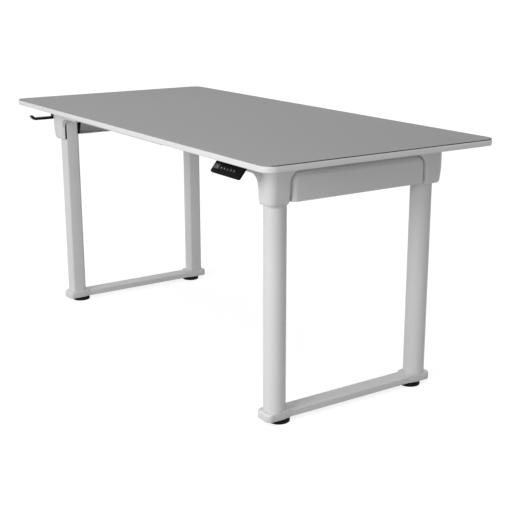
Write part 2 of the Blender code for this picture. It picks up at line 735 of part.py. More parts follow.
def make_crossbeam(end, side):
    low, high = beam_section(end, side)
    wall = BEAM_WALL
    outer = rounded_rectangle(low, high, 0.003, 2)
    inner = rounded_rectangle((low[0] + wall, low[1] + wall), (high[0] - wall, high[1] - wall), 0.0008, 1)
    root = end * (LEG_X - BEAM_START - GAP)
    tip = -end * BEAM_LAP
    name = f"crossbeam_{'front' if side < 0 else 'rear'}_{'left' if end < 0 else 'right'}"
    return prism(name, [outer, inner], "X", min(root, tip), max(root, tip), GREY_PAINT)


def bracket_outline(inset):
    """The casting's plan in u and v, with its outer, front and seam sides moved in by inset."""
    out, front, seam = BRACKET_OUT - inset, BRACKET_FRONT - inset, SEAM_V - inset
    r = BRACKET_ROUND - inset
    back = max(SEAM_ROUND - inset, 0.003)
    return (
        arc((out - back, back - seam), back, -90, 0, 4)
        + arc((out - r, front - r), r, 0, 90, 7)
        + arc((r - BRACKET_IN, front - r), r, 90, 180, 7)
        + [(-BRACKET_IN, -seam)]
    )


def make_bracket(corner):
    """Corner casting: a shell round the column top, an arm for the crossbeam and one over the apron."""
    levels = []
    for i in range(5):
        angle = math.radians(90 * i / 4)
        levels.append((TAPER + LIP_REACH * (1 - math.sin(angle)), LIP + LIP_ROUND * (1 - math.cos(angle))))
    levels += [(0, TAPER_TOP), (0, UNDER)]
    rings = [[(*corner.at(u, v), z) for u, v in bracket_outline(inset)] for inset, z in levels]
    body = loft(f"corner_bracket_{corner.name}", rings, GREY_PAINT)
    # arm that takes the crossbeam
    fillet = ARM_FILLET
    side = [(-0.010, UNDER), (-ARM_LENGTH, UNDER), (-ARM_LENGTH, ARM_BOTTOM)]
    side += arc((-BRACKET_IN - fillet, ARM_BOTTOM - fillet), fillet, 90, 0, 6)
    side += [(-0.010, ARM_BOTTOM - fillet)]
    side = [(corner.at(u, 0)[0], z) for u, z in side]
    y0, y1 = corner.span_y(*ARM_V)
    cut(body, prism(f"beam_arm_{corner.name}", [side], "Y", y0, y1, None, CUTTERS), "UNION")
    # arm over the end of the apron
    radius = APRON_CORNER + SEAM / 2
    under = APRON_TOP + SEAM / 2
    end = [(-0.010, UNDER), (-SIDE_ARM_REACH, UNDER), (-SIDE_ARM_REACH, under)]
    end += arc((-SEAM_V - radius, under - radius), radius, 90, 0, 7)
    end += [(-SEAM_V, SIDE_ARM_BOTTOM), (-0.010, SIDE_ARM_BOTTOM)]
    end = [(corner.at(0, v + INSIDE)[1], z) for v, z in end]
    x0, x1 = corner.span_x(SIDE_ARM_U, BRACKET_OUT - INSIDE)
    arm = prism(f"apron_arm_{corner.name}", [end], "X", x0, x1, None, CUTTERS)
    outside = corner.at(BRACKET_OUT - INSIDE, 0)[0]
    reach = corner.at(0, -SIDE_ARM_REACH / 2)[1]
    seam = corner.at(0, -SEAM_V / 2)[1]

    def rim(edge):
        on_face = all(abs(v.co.x - outside) < GAP for v in edge.verts)
        lower = all(v.co.z < UNDER - GAP for v in edge.verts)
        past_seam = all((v.co.y - seam) * (reach - seam) > 0 for v in edge.verts)
        return on_face and lower and past_seam

    weight_edges(arm.data, rim)
    bevel(arm, SIDE_ARM_ROUND, 3, weighted=True)
    cut(body, arm, "UNION")
    # room for the column, the collar, the gearbox and the beam
    centre = (corner.x, corner.y)
    bore_top = COLLAR_TOP + GAP
    ledge = LIP + LIP_BORE_DEPTH
    cut(body, cylinder(f"lip_bore_{corner.name}", centre, LIP_BORE, LIP - 0.01, ledge + 0.01, steps=40,
                       collection=CUTTERS))
    cut(body, cylinder(f"column_bore_{corner.name}", centre, BORE_RADIUS, ledge, bore_top, steps=40,
                       collection=CUTTERS))
    half = math.degrees(math.acos(LINER_FOOT_U / BORE_RADIUS))
    foot = [corner.at(u, v) for u, v in arc((0, 0), BORE_RADIUS, half, 360 - half, 14)]
    cut(body, prism(f"liner_room_{corner.name}", [foot], "Z", LIP - 0.01, ledge + 0.001, None, CUTTERS))
    x0, x1 = corner.span_x(BOX_U[0] - GAP, BOX_U[1] + GAP)
    y0, y1 = corner.span_y(BOX_BOSS_V - GAP, BOX_V[1] + GAP)
    cut(body, block(f"gearbox_room_{corner.name}", (x0, y0, BOX_BOTTOM - GAP), (x1, y1, HEIGHT), None, CUTTERS))
    low, high = beam_section(corner.end, corner.side)
    x0, x1 = corner.span_x(-ARM_LENGTH - 0.01, -BEAM_START)
    socket = block(f"beam_socket_{corner.name}", (x0, low[0] - GAP, low[1] - GAP), (x1, high[0] + GAP, HEIGHT), None,
                   CUTTERS)
    return cut(body, socket)


def apron_shape(name, end, wall, collection):
    """The apron's rounded block, drawn in by wall on every side but the open one."""
    y0 = leg_y(-1) + SEAM_V + SEAM + wall
    y1 = leg_y(1) - SEAM_V - SEAM - wall
    low, top = APRON_BOTTOM + wall, APRON_TOP - wall
    r = APRON_CORNER - wall
    outline = [(y0, low), (y1, low)]
    outline += arc((y1 - r, top - r), r, 0, 90, 6)
    outline += arc((y0 + r, top - r), r, 90, 180, 6)
    outside = end * (LEG_X + BRACKET_OUT - wall)
    inside = end * (LEG_X + BRACKET_OUT - APRON_DEPTH - wall)
    shape = prism(name, [outline], "X", min(outside, inside), max(outside, inside), GREY_PAINT, collection)

    def rounded(edge):
        on_face = all(abs(v.co.x - outside) < GAP for v in edge.verts)
        return on_face and any(v.co.z > low + GAP for v in edge.verts)

    weight_edges(shape.data, rounded)
    bevel(shape, APRON_EDGE - wall, 4, weighted=True)
    return shape


def make_apron(end):
    """Pressed end panel between two brackets: a shell open to the inside, rounded at its ends and top."""
    suffix = "left" if end < 0 else "right"
    apron = apron_shape(f"end_apron_{suffix}", end, 0.0, PARTS)
    return cut(apron, apron_shape(f"apron_room_{suffix}", end, APRON_WALL, CUTTERS))


def make_motor(end):
    """Gear head round the drive shaft, with the motor can beside the shaft."""
    suffix = "left" if end < 0 else "right"
    inward = -end
    shaft_x = end * LEG_X
    can_x = shaft_x + inward * MOTOR_OFFSET
    x0, x1 = sorted((shaft_x - inward * BOX_BOSS_U, can_x + inward * (MOTOR_RADIUS + 0.0045)))
    y = FRAME_SHIFT
    head = block(f"lift_motor_{suffix}", (x0, y - HEAD_HALF, HEAD_BOTTOM), (x1, y + HEAD_HALF, UNDER), BLACK_STEEL)
    bevel(head, 0.0018, 2)
    can_z = (HEAD_BOTTOM + UNDER) / 2
    can = cylinder(f"motor_can_{suffix}", (can_x, can_z), MOTOR_RADIUS, y - HEAD_HALF - MOTOR_LENGTH, y + 0.011, "Y",
                   collection=CUTTERS)
    cut(head, can, "UNION")
    radius = SHAFT_RADIUS + THREAD_CLEARANCE
    reach = HEAD_HALF + 0.01
    bore = cylinder(f"head_bore_{suffix}", (shaft_x, SHAFT_HEIGHT), radius, y - reach, y + reach, "Y",
                    collection=CUTTERS)
    return cut(head, bore)


def make_control_box():
    """Cover screwed to the underside of the top, open at its top, with sockets in its rear wall."""
    length, depth, height = CONTROL_SIZE
    low = (-length / 2, CONTROL_Y - depth / 2, UNDER - height)
    high = (length / 2, CONTROL_Y + depth / 2, UNDER)
    box = block("control_box", low, high, DARK_PLASTIC)
    bevel(box, 0.003, 2)
    wall = CONTROL_WALL
    room = block("control_room", (low[0] + wall, low[1] + wall, low[2] + wall), (high[0] - wall, high[1] - wall, HEIGHT),
                 None, CUTTERS)
    cut(box, room)
    # mains inlet, two motor sockets and the handset socket
    sockets = ((-0.085, 0.028), (-0.030, 0.016), (0.010, 0.016), (0.070, 0.011))
    for index, (x, width) in enumerate(sockets):
        hole = block(f"socket_{index}", (x - width / 2, high[1] - 2 * wall, low[2] + 0.006),
                     (x + width / 2, high[1] + wall, low[2] + 0.018), None, CUTTERS)
        cut(box, hole)
    pcb_low = (low[0] + wall + GAP, low[1] + wall + GAP, PCB_BOTTOM)
    pcb_high = (high[0] - wall - GAP, high[1] - wall - GAP, pcb_low[2] + BOARD_PCB)
    return [box, block("control_circuit_board", pcb_low, pcb_high, CIRCUIT)]


# ---------------------------------------------------------------- handset
def face_frame():
    """The top edge of the handset's face, and the directions down it and out of it, in (y, z)."""
    top = Vector((FACE_TOP_Y, UNDER))
    down = (Vector(FACE_LOW) - top).normalized()
    out = Vector((down.y, -down.x))
    return top, down, out


def face_box(name, x_span, along, depth, material=None, collection=None):
    """A block on the face: along is its span down the face, depth its span out of the face."""
    top, down, out = face_frame()
    corners = []
    for a, d in ((along[0], depth[0]), (along[1], depth[0]), (along[1], depth[1]), (along[0], depth[1])):
        point = top + down * a + out * d
        corners.append((point.x, point.y))
    return prism(name, [corners], "X", x_span[0], x_span[1], material, collection)


def make_handset():
    top, down, out = face_frame()
    start = top - down * INSIDE / down.y
    back = start - out * HANDSET_THICKNESS
    back_top = back + down * out.y * HANDSET_THICKNESS / down.y
    low = Vector(FACE_LOW)
    outline = [tuple(start), tuple(low), tuple(low - out * HANDSET_THICKNESS), tuple(back_top)]
    body = prism("handset_case", [outline], "X", HANDSET_X[0], HANDSET_X[1], DARK_PLASTIC)

    def lower_corner(edge):
        a, b = (v.co for v in edge.verts)
        return max(a.z, b.z) < low.y + GAP and abs(a.x - b.x) < GAP

    weight_edges(body.data, lower_corner)
    bevel(body, HANDSET_CORNER, 4, weighted=True)
    bevel(body, HANDSET_EDGE, 1)
    mount = block("handset_mount", (MOUNT_X[0], MOUNT_Y[0], UNDER - MOUNT_THICKNESS), (MOUNT_X[1], MOUNT_Y[1], UNDER), None,
                  CUTTERS)
    cut(body, mount, "UNION")
    pieces = [body]
    pocket = KEY_BODY + KEY_TRAVEL + GAP - KEY_PROUD
    for index in range(KEY_COUNT):
        x = KEY_FIRST_X + index * KEY_PITCH
        half = KEY_WIDTH / 2
        along = (KEY_ALONG - KEY_HEIGHT / 2, KEY_ALONG + KEY_HEIGHT / 2)
        room = face_box(f"key_pocket_{index + 1}", (x - half - GAP, x + half + GAP), (along[0] - GAP, along[1] + GAP),
                        (-pocket, 0.002), None, CUTTERS)
        cut(body, room)
        key = face_box(f"handset_key_{index + 1}", (x - half, x + half), along, (KEY_PROUD - KEY_BODY, KEY_PROUD),
                       KEY_PLASTIC)
        pieces.append(key)
    room = face_box("display_pocket", (DISPLAY_X[0] - GAP, DISPLAY_X[1] + GAP),
                    (DISPLAY_ALONG[0] - GAP, DISPLAY_ALONG[1] + GAP), (-DISPLAY_THICKNESS - GAP, 0.002), None, CUTTERS)
    cut(body, room)
    pieces.append(face_box("handset_display", DISPLAY_X, DISPLAY_ALONG, (-DISPLAY_THICKNESS, 0), DARK_GLASS))
    return pieces


def make_hook():
    """Bent strip under the top, on which headphones hang."""
    t = HOOK_THICKNESS
    front = HOOK_UPRIGHT_Y - HOOK_REACH
    lift = HOOK_TIP
    low = HOOK_ARM_TOP - t
    slant = t / math.sqrt(2)
    outline = [
        (HOOK_PLATE_BACK, UNDER),
        (HOOK_UPRIGHT_Y - t, UNDER),
        (HOOK_UPRIGHT_Y - t, HOOK_ARM_TOP + t),
        (HOOK_UPRIGHT_Y - 2 * t, HOOK_ARM_TOP),
        (front, HOOK_ARM_TOP),
        (front - lift + slant, HOOK_ARM_TOP + lift),
        (front - lift, HOOK_ARM_TOP + lift - slant),
        (front - slant, low),
        (HOOK_UPRIGHT_Y - t, low),
        (HOOK_UPRIGHT_Y, low + t),
        (HOOK_UPRIGHT_Y, UNDER - t),
        (HOOK_PLATE_BACK, UNDER - t),
    ]
    half = HOOK_WIDTH / 2
    hook = prism("headphone_hook", [outline], "X", HOOK_X - half, HOOK_X + half, BLACK_STEEL)
    bevel(hook, 0.0012, 1)
    return hook


# ---------------------------------------------------------------- assembly
def make_body_empty(name, point):
    empty = bpy.data.objects.new(name, None)
    empty.location = point
    PARTS.objects.link(empty)
    return empty


def parent_to(empty, pieces):
    for piece in pieces:
        piece.parent = empty
        piece.location = piece.location - empty.location


def build():
    left = make_body_empty("left_base_frame", (-LEG_X, FRAME_SHIFT, 0))
    right = make_body_empty("right_base_frame", (LEG_X, FRAME_SHIFT, 0))
    lift = make_body_empty("lifting_frame", (0, FRAME_SHIFT, UNDER))
    base = {-1: [make_foot_rail(-1)], 1: [make_foot_rail(1)]}
    upper = make_top()
    for corner in CORNERS:
        base[corner.end] += [
            make_outer_tube(corner),
            make_glide(corner),
            make_push_tube(corner),
            make_foot_cap(corner),
            make_levelling_foot(corner),
        ]
        upper += [make_inner_tube(corner), make_spindle(corner), make_gearbox(corner), make_bracket(corner)]
    for end in (-1, 1):
        upper += [make_apron(end), make_motor(end), make_drive_shaft(end)]
        for side in (-1, 1):
            upper.append(make_crossbeam(end, side))
    upper += make_control_box() + make_handset() + [make_hook()]
    for piece in PARTS.objects:
        if piece.type == "MESH" and not any(m.type == "SCREW" for m in piece.modifiers):
            smooth(piece.data)
    parent_to(left, base[-1])
    parent_to(right, base[1])
    parent_to(lift, upper)


build()
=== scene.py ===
"""Looks for a height adjustable standing desk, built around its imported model.

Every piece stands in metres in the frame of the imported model: +X along the length, -Y towards
the user, +Z up, and the floor at zero.
"""

from __future__ import annotations

import json
import logging
import math
from collections.abc import Callable, Iterable, Sequence
from dataclasses import dataclass
from enum import Enum

import bmesh
import bpy
from mathutils import Matrix, Vector

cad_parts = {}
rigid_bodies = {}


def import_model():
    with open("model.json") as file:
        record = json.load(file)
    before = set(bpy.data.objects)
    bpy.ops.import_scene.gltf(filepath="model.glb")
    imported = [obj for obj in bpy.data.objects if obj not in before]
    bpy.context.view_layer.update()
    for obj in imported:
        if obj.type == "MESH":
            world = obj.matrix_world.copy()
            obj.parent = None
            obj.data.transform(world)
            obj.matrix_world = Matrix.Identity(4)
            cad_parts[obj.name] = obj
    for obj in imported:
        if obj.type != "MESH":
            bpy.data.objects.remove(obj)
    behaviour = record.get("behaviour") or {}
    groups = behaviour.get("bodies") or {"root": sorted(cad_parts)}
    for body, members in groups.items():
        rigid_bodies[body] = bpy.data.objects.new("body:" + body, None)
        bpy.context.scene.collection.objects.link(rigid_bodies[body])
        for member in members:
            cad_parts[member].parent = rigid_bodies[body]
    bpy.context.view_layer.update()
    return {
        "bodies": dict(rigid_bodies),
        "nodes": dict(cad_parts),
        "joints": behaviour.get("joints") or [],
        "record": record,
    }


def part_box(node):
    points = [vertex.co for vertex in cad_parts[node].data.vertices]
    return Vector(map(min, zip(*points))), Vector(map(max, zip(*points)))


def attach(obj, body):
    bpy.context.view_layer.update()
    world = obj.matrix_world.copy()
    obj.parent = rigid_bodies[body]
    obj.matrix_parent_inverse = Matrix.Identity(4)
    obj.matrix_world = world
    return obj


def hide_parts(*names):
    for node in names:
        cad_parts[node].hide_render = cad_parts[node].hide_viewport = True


LOG = logging.getLogger("standing_desk")
MM = 0.001

Point = tuple[float, float]
Loop = list[Point]
Colour = tuple[float, float, float]
Triple = tuple[float, float, float]
WHITE = (1.0, 1.0, 1.0, 1.0)


# ---------------------------------------------------------------- names of the places and finishes
class End(Enum):
    """The two ends of the desk, as the sign of X."""

    LEFT = -1
    RIGHT = 1


class Side(Enum):
    """The user's side and the far side, as the sign of Y."""

    FRONT = -1
    REAR = 1


class Axis(Enum):
    """The direction along which an outline is drawn out."""

    X = "X"
    Y = "Y"
    Z = "Z"


class Slot(Enum):
    """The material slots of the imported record."""

    BOARD = "white_melamine"
    SHEET = "grey_surface_sheet"
    PAINT = "pale_grey_powder_coat"
    PLASTIC = "black_plastic"
    BLACK_STEEL = "black_painted_steel"
    STEEL = "bright_steel"
    NYLON = "natural_nylon"
    WINDOW = "display_window"
    KEY = "key_plastic"
    CIRCUIT = "circuit_board"


# ---------------------------------------------------------------- node helpers
class Nodes:
    """The node tree of a material or a world, with short ways to add to it."""

    def __init__(self, owner: bpy.types.Material | bpy.types.World) -> None:
        """Switches the owner's nodes on."""
        owner.use_nodes = True
        self.tree = owner.node_tree

    def feed(self, node: bpy.types.Node, *ordered: object, **named: object) -> bpy.types.Node:
        """Sets a node's inputs, each to a value or linked to a socket.

        Args:
            node: The node.
            ordered: For its first inputs, in order.
            named: For inputs by name, with underscores for spaces.

        Returns:
            The same node.
        """
        inputs = [
            *zip(node.inputs, ordered), *((node.inputs[key.replace("_", " ")], named[key]) for key in named)
        ]
        for socket, value in inputs:
            if isinstance(value, bpy.types.NodeSocket):
                self.tree.links.new(value, socket)
            else:
                socket.default_value = value
        return node

    def add(self, kind: str, *ordered: object, **named: object) -> bpy.types.Node:
        """Adds a node and feeds its inputs."""
        return self.feed(self.tree.nodes.new(kind), *ordered, **named)

    def math(self, operation: str, *values: object) -> bpy.types.NodeSocket:
        """Adds a sum.

        Args:
            operation: The Math node's operation, such as MULTIPLY_ADD.
            values: Its values or sockets, in order.

        Returns:
            The result.
        """
        node = self.add("ShaderNodeMath", *values)
        node.operation = operation
        return node.outputs["Value"]

    def seen(self) -> bpy.types.NodeSocket:
        """Tells the rays that show a surface from the rays that light it.

        Returns:
            1 for camera, glossy and transmission rays, else 0.
        """
        rays = self.add("ShaderNodeLightPath").outputs
        gloss = self.math("MAXIMUM", rays["Is Camera Ray"], rays["Is Glossy Ray"])
        return self.math("MAXIMUM", gloss, rays["Is Transmission Ray"])


class Shading(Nodes):
    """A new material with a Principled shader, patterned in the object's own space."""

    def __init__(self, name: str) -> None:
        """Starts the material.

        Args:
            name: The material's name.
        """
        self.material = bpy.data.materials.new(name)
        super().__init__(self.material)
        self.shader = self.tree.nodes["Principled BSDF"]
        self.place = self.add("ShaderNodeTexCoord").outputs["Object"]

    def noise(self, scale: float, detail: float = 2.0) -> bpy.types.NodeSocket:
        """Adds fractal noise about 0.5, with so many features to the metre and so many octaves."""
        return self.add("ShaderNodeTexNoise", Vector=self.place, Scale=scale, Detail=detail).outputs["Fac"]

    def cells(self, scale: float) -> bpy.types.NodeSocket:
        """Adds the distance from scattered points, so many to the metre, for pebbled grain."""
        return self.add("ShaderNodeTexVoronoi", Vector=self.place, Scale=scale).outputs["Distance"]

    def spread(self, source: bpy.types.NodeSocket, low: float, high: float) -> bpy.types.NodeSocket:
        """Maps a value, mostly from 0.3 to 0.7, to a range from low to high."""
        node = self.add(
            "ShaderNodeMapRange", Value=source, From_Min=0.3, From_Max=0.7, To_Min=low, To_Max=high
        )
        return node.outputs["Result"]

    def blend(self, factor: bpy.types.NodeSocket, first: Colour, second: Colour) -> bpy.types.NodeSocket:
        """Mixes two colours.

        Args:
            factor: 0 gives the first, 1 the second.
            first: Linear colour.
            second: Linear colour.

        Returns:
            The mixed colour.
        """
        node = self.add("ShaderNodeMix")
        node.data_type = "RGBA"
        self.feed(node, Factor=factor, A=(*first, 1.0), B=(*second, 1.0))
        return next(s for s in node.outputs if s.type == "RGBA")

    def relief(self, height: bpy.types.NodeSocket, strength: float, depth: float) -> None:
        """Raises the surface by a share, the strength, of a height of so many metres."""
        bump = self.add("ShaderNodeBump", Height=height, Strength=strength, Distance=depth)
        self.feed(self.shader, Normal=bump.outputs["Normal"])


# ---------------------------------------------------------------- finishes
@dataclass(frozen=True)
class Finish:
    """A mottled, lightly pebbled finish: two shades, a roughness range and a fine relief."""

    name: str
    slot: Slot
    shade: Colour
    mottle: float = 0.02
    mottle_scale: float = 6.0
    rough: tuple[float, float] = (0.40, 0.48)
    grain: float = 900.0
    depth: float = 0.00004
    strength: float = 0.35
    metallic: float = 0.0
    specular: float = 0.5
    pebbled: bool = False

    def material(self) -> bpy.types.Material:
        """Builds the finish once and returns it from then on."""
        return bpy.data.materials.get(self.name) or self.build()

    def tone(self, share: float) -> Colour:
        """The finish's shade, times a share."""
        return tuple(c * share for c in self.shade)

    def build(self) -> bpy.types.Material:
        """Builds the finish's material.

        Returns:
            The material.
        """
        look = Shading(self.name)
        broad = look.noise(self.mottle_scale, 3.0)
        mottle = look.spread(
            look.math("MULTIPLY_ADD", look.noise(self.grain * 0.7, 1.0), 0.12, broad), 0.0, 1.0
        )
        look.feed(
            look.shader,
            Base_Color=look.blend(mottle, self.tone(1 - self.mottle), self.tone(1 + self.mottle)),
            Metallic=self.metallic,
            Roughness=look.spread(look.noise(self.mottle_scale * 5), *self.rough),
            Specular_IOR_Level=self.specular,
        )
        height = look.cells(self.grain) if self.pebbled else look.noise(self.grain)
        look.relief(
            look.math("MULTIPLY_ADD", look.noise(self.grain * 3), 0.35, height), self.strength, self.depth
        )
        return look.material


@dataclass(frozen=True)
class TurnedFinish(Finish):
    """Steel with fine rings from the lathe, across an axis."""

    rings: float = 2400.0

    def build(self) -> bpy.types.Material:
        """Builds the finish's material.

        Returns:
            The material.
        """
        material = super().build()
        nodes = Nodes(material)
        place, bump = (next(n for n in nodes.tree.nodes if n.type == kind) for kind in ("TEX_COORD", "BUMP"))
        wave = nodes.add(
            "ShaderNodeTexWave", Vector=place.outputs["Object"], Scale=self.rings / 20, Distortion=1.5
        )
        wave.bands_direction = "Z"
        nodes.feed(bump, Height=wave.outputs["Fac"])
        return material


@dataclass(frozen=True)
class CircuitFinish(Finish):
    """Green solder resist crossed by paler copper runs."""

    def build(self) -> bpy.types.Material:
        """Builds the finish's material.

        Returns:
            The material.
        """
        look = Shading(self.name)
        brick = look.add(
            "ShaderNodeTexBrick",
            Vector=look.place,
            Scale=90.0,
            Color1=(*self.shade, 1.0),
            Color2=(*self.tone(0.8), 1.0),
            Mortar=(*self.tone(1.7), 1.0),
            Mortar_Size=0.03,
        )
        rough = look.spread(look.noise(60), *self.rough)
        look.feed(
            look.shader, Base_Color=brick.outputs["Color"], Roughness=rough, Specular_IOR_Level=self.specular
        )
        look.relief(brick.outputs["Fac"], 0.4, 0.00003)
        return look.material


PAINT = Finish(
    "pale_grey_powder_coat_look", Slot.PAINT, (0.690, 0.690, 0.690), 0.012, 5.0, (0.40, 0.50), 1100.0
)
BOARD = Finish(
    "white_melamine_look", Slot.BOARD, (0.700, 0.700, 0.700), 0.008, 9.0, (0.38, 0.46), 1500.0, 0.00002,
    pebbled=True
)
SHEET_TOP = Finish(
    "grey_sheet_look", Slot.SHEET, (0.300, 0.300, 0.300), 0.025, 240.0, (0.64, 0.72), 1700.0, 0.00006, 0.5,
    specular=0.3, pebbled=True,
)
# Painted shade: a near-black colour for the sheet's side edges that face away from the front, standing in for
# the shade on them.
SHEET_SHADED_EDGE = Finish(
    "grey_sheet_cut_edge", Slot.SHEET, (0.028, 0.028, 0.029), 0.10, 60.0, (0.65, 0.80), 1800.0, specular=0.15
)
PLASTIC = Finish(
    "black_plastic_look", Slot.PLASTIC, (0.0045, 0.0045, 0.0047), 0.15, 30.0, (0.50, 0.60), 2600.0, 0.00003,
    0.5,
    specular=0.04, pebbled=True,
)
RUBBER = Finish(
    "black_foot_rubber", Slot.PLASTIC, (0.007, 0.007, 0.007), 0.20, 40.0, (0.60, 0.75), 1800.0, 0.00005,
    specular=0.12
)
BLACK_STEEL = Finish(
    "black_steel_look", Slot.BLACK_STEEL, (0.006, 0.006, 0.0062), 0.12, 20.0, (0.36, 0.46), 1400.0,
    specular=0.14
)
STEEL = TurnedFinish(
    "turned_steel_look", Slot.STEEL, (0.55, 0.55, 0.56), 0.06, 20.0, (0.24, 0.36), metallic=1.0
)
ZINC = Finish(
    "zinc_screw_look", Slot.STEEL, (0.42, 0.42, 0.43), 0.10, 80.0, (0.30, 0.42), 2000.0, metallic=1.0
)
NYLON = Finish("nylon_look", Slot.NYLON, (0.75, 0.73, 0.68), 0.03, 20.0, (0.40, 0.50))
WINDOW = Finish(
    "smoked_window_look", Slot.WINDOW, (0.052, 0.054, 0.057), 0.04, 20.0, (0.10, 0.14), 300.0, 0.000005, 0.1,
    specular=0.3,
)
KEY = Finish(
    "key_plastic_look", Slot.KEY, (0.016, 0.016, 0.0165), 0.10, 60.0, (0.42, 0.50), 2600.0, 0.00002,
    specular=0.12, pebbled=True,
)
KEY_MARK = Finish("key_mark_print", Slot.KEY, (0.50, 0.50, 0.50), 0.03, 60.0, (0.45, 0.55))
CIRCUIT = CircuitFinish("solder_resist_look", Slot.CIRCUIT, (0.020, 0.160, 0.070), rough=(0.30, 0.45))


# ---------------------------------------------------------------- outlines
def arc(centre: Point, radius: float, start: float, end: float, steps: int) -> Loop:
    """Points of an arc between two angles in degrees, ends included, in so many straight pieces."""
    turn = [math.radians(start + (end - start) * i / steps) for i in range(steps + 1)]
    return [(centre[0] + radius * math.cos(a), centre[1] + radius * math.sin(a)) for a in turn]


def rounded(low: Point, high: Point, radius: float, steps: int = 8) -> Loop:
    """A rectangle with round corners.

    Args:
        low: Lower corner.
        high: Upper corner.
        radius: Corner radius.
        steps: Pieces in each corner.

    Returns:
        The outline, anticlockwise.
    """
    (x0, y0), (x1, y1) = low, high
    x0, x1, y0, y1 = x0 + radius, x1 - radius, y0 + radius, y1 - radius
    centres = ((x1, y0), (x1, y1), (x0, y1), (x0, y0))
    return [p for i, c in enumerate(centres) for p in arc(c, radius, -90 + 90 * i, 90 * i, steps)]


def hollow(low: Point, high: Point, wall: float, radius: float, steps: int) -> list[Loop]:
    """The outer and inner outlines of a rectangular tube, with its outer corner radius."""
    inner = rounded((low[0] + wall, low[1] + wall), (high[0] - wall, high[1] - wall), radius - wall, steps)
    return [rounded(low, high, radius, steps), inner]


def flatted(radius: float, flat: float, steps: int = 72) -> Loop:
    """A circle about the column's axis, cut by a flat that far towards the middle of the desk."""
    half = math.degrees(math.acos(-flat / radius))
    return arc((0.0, 0.0), radius, -half, half, steps)


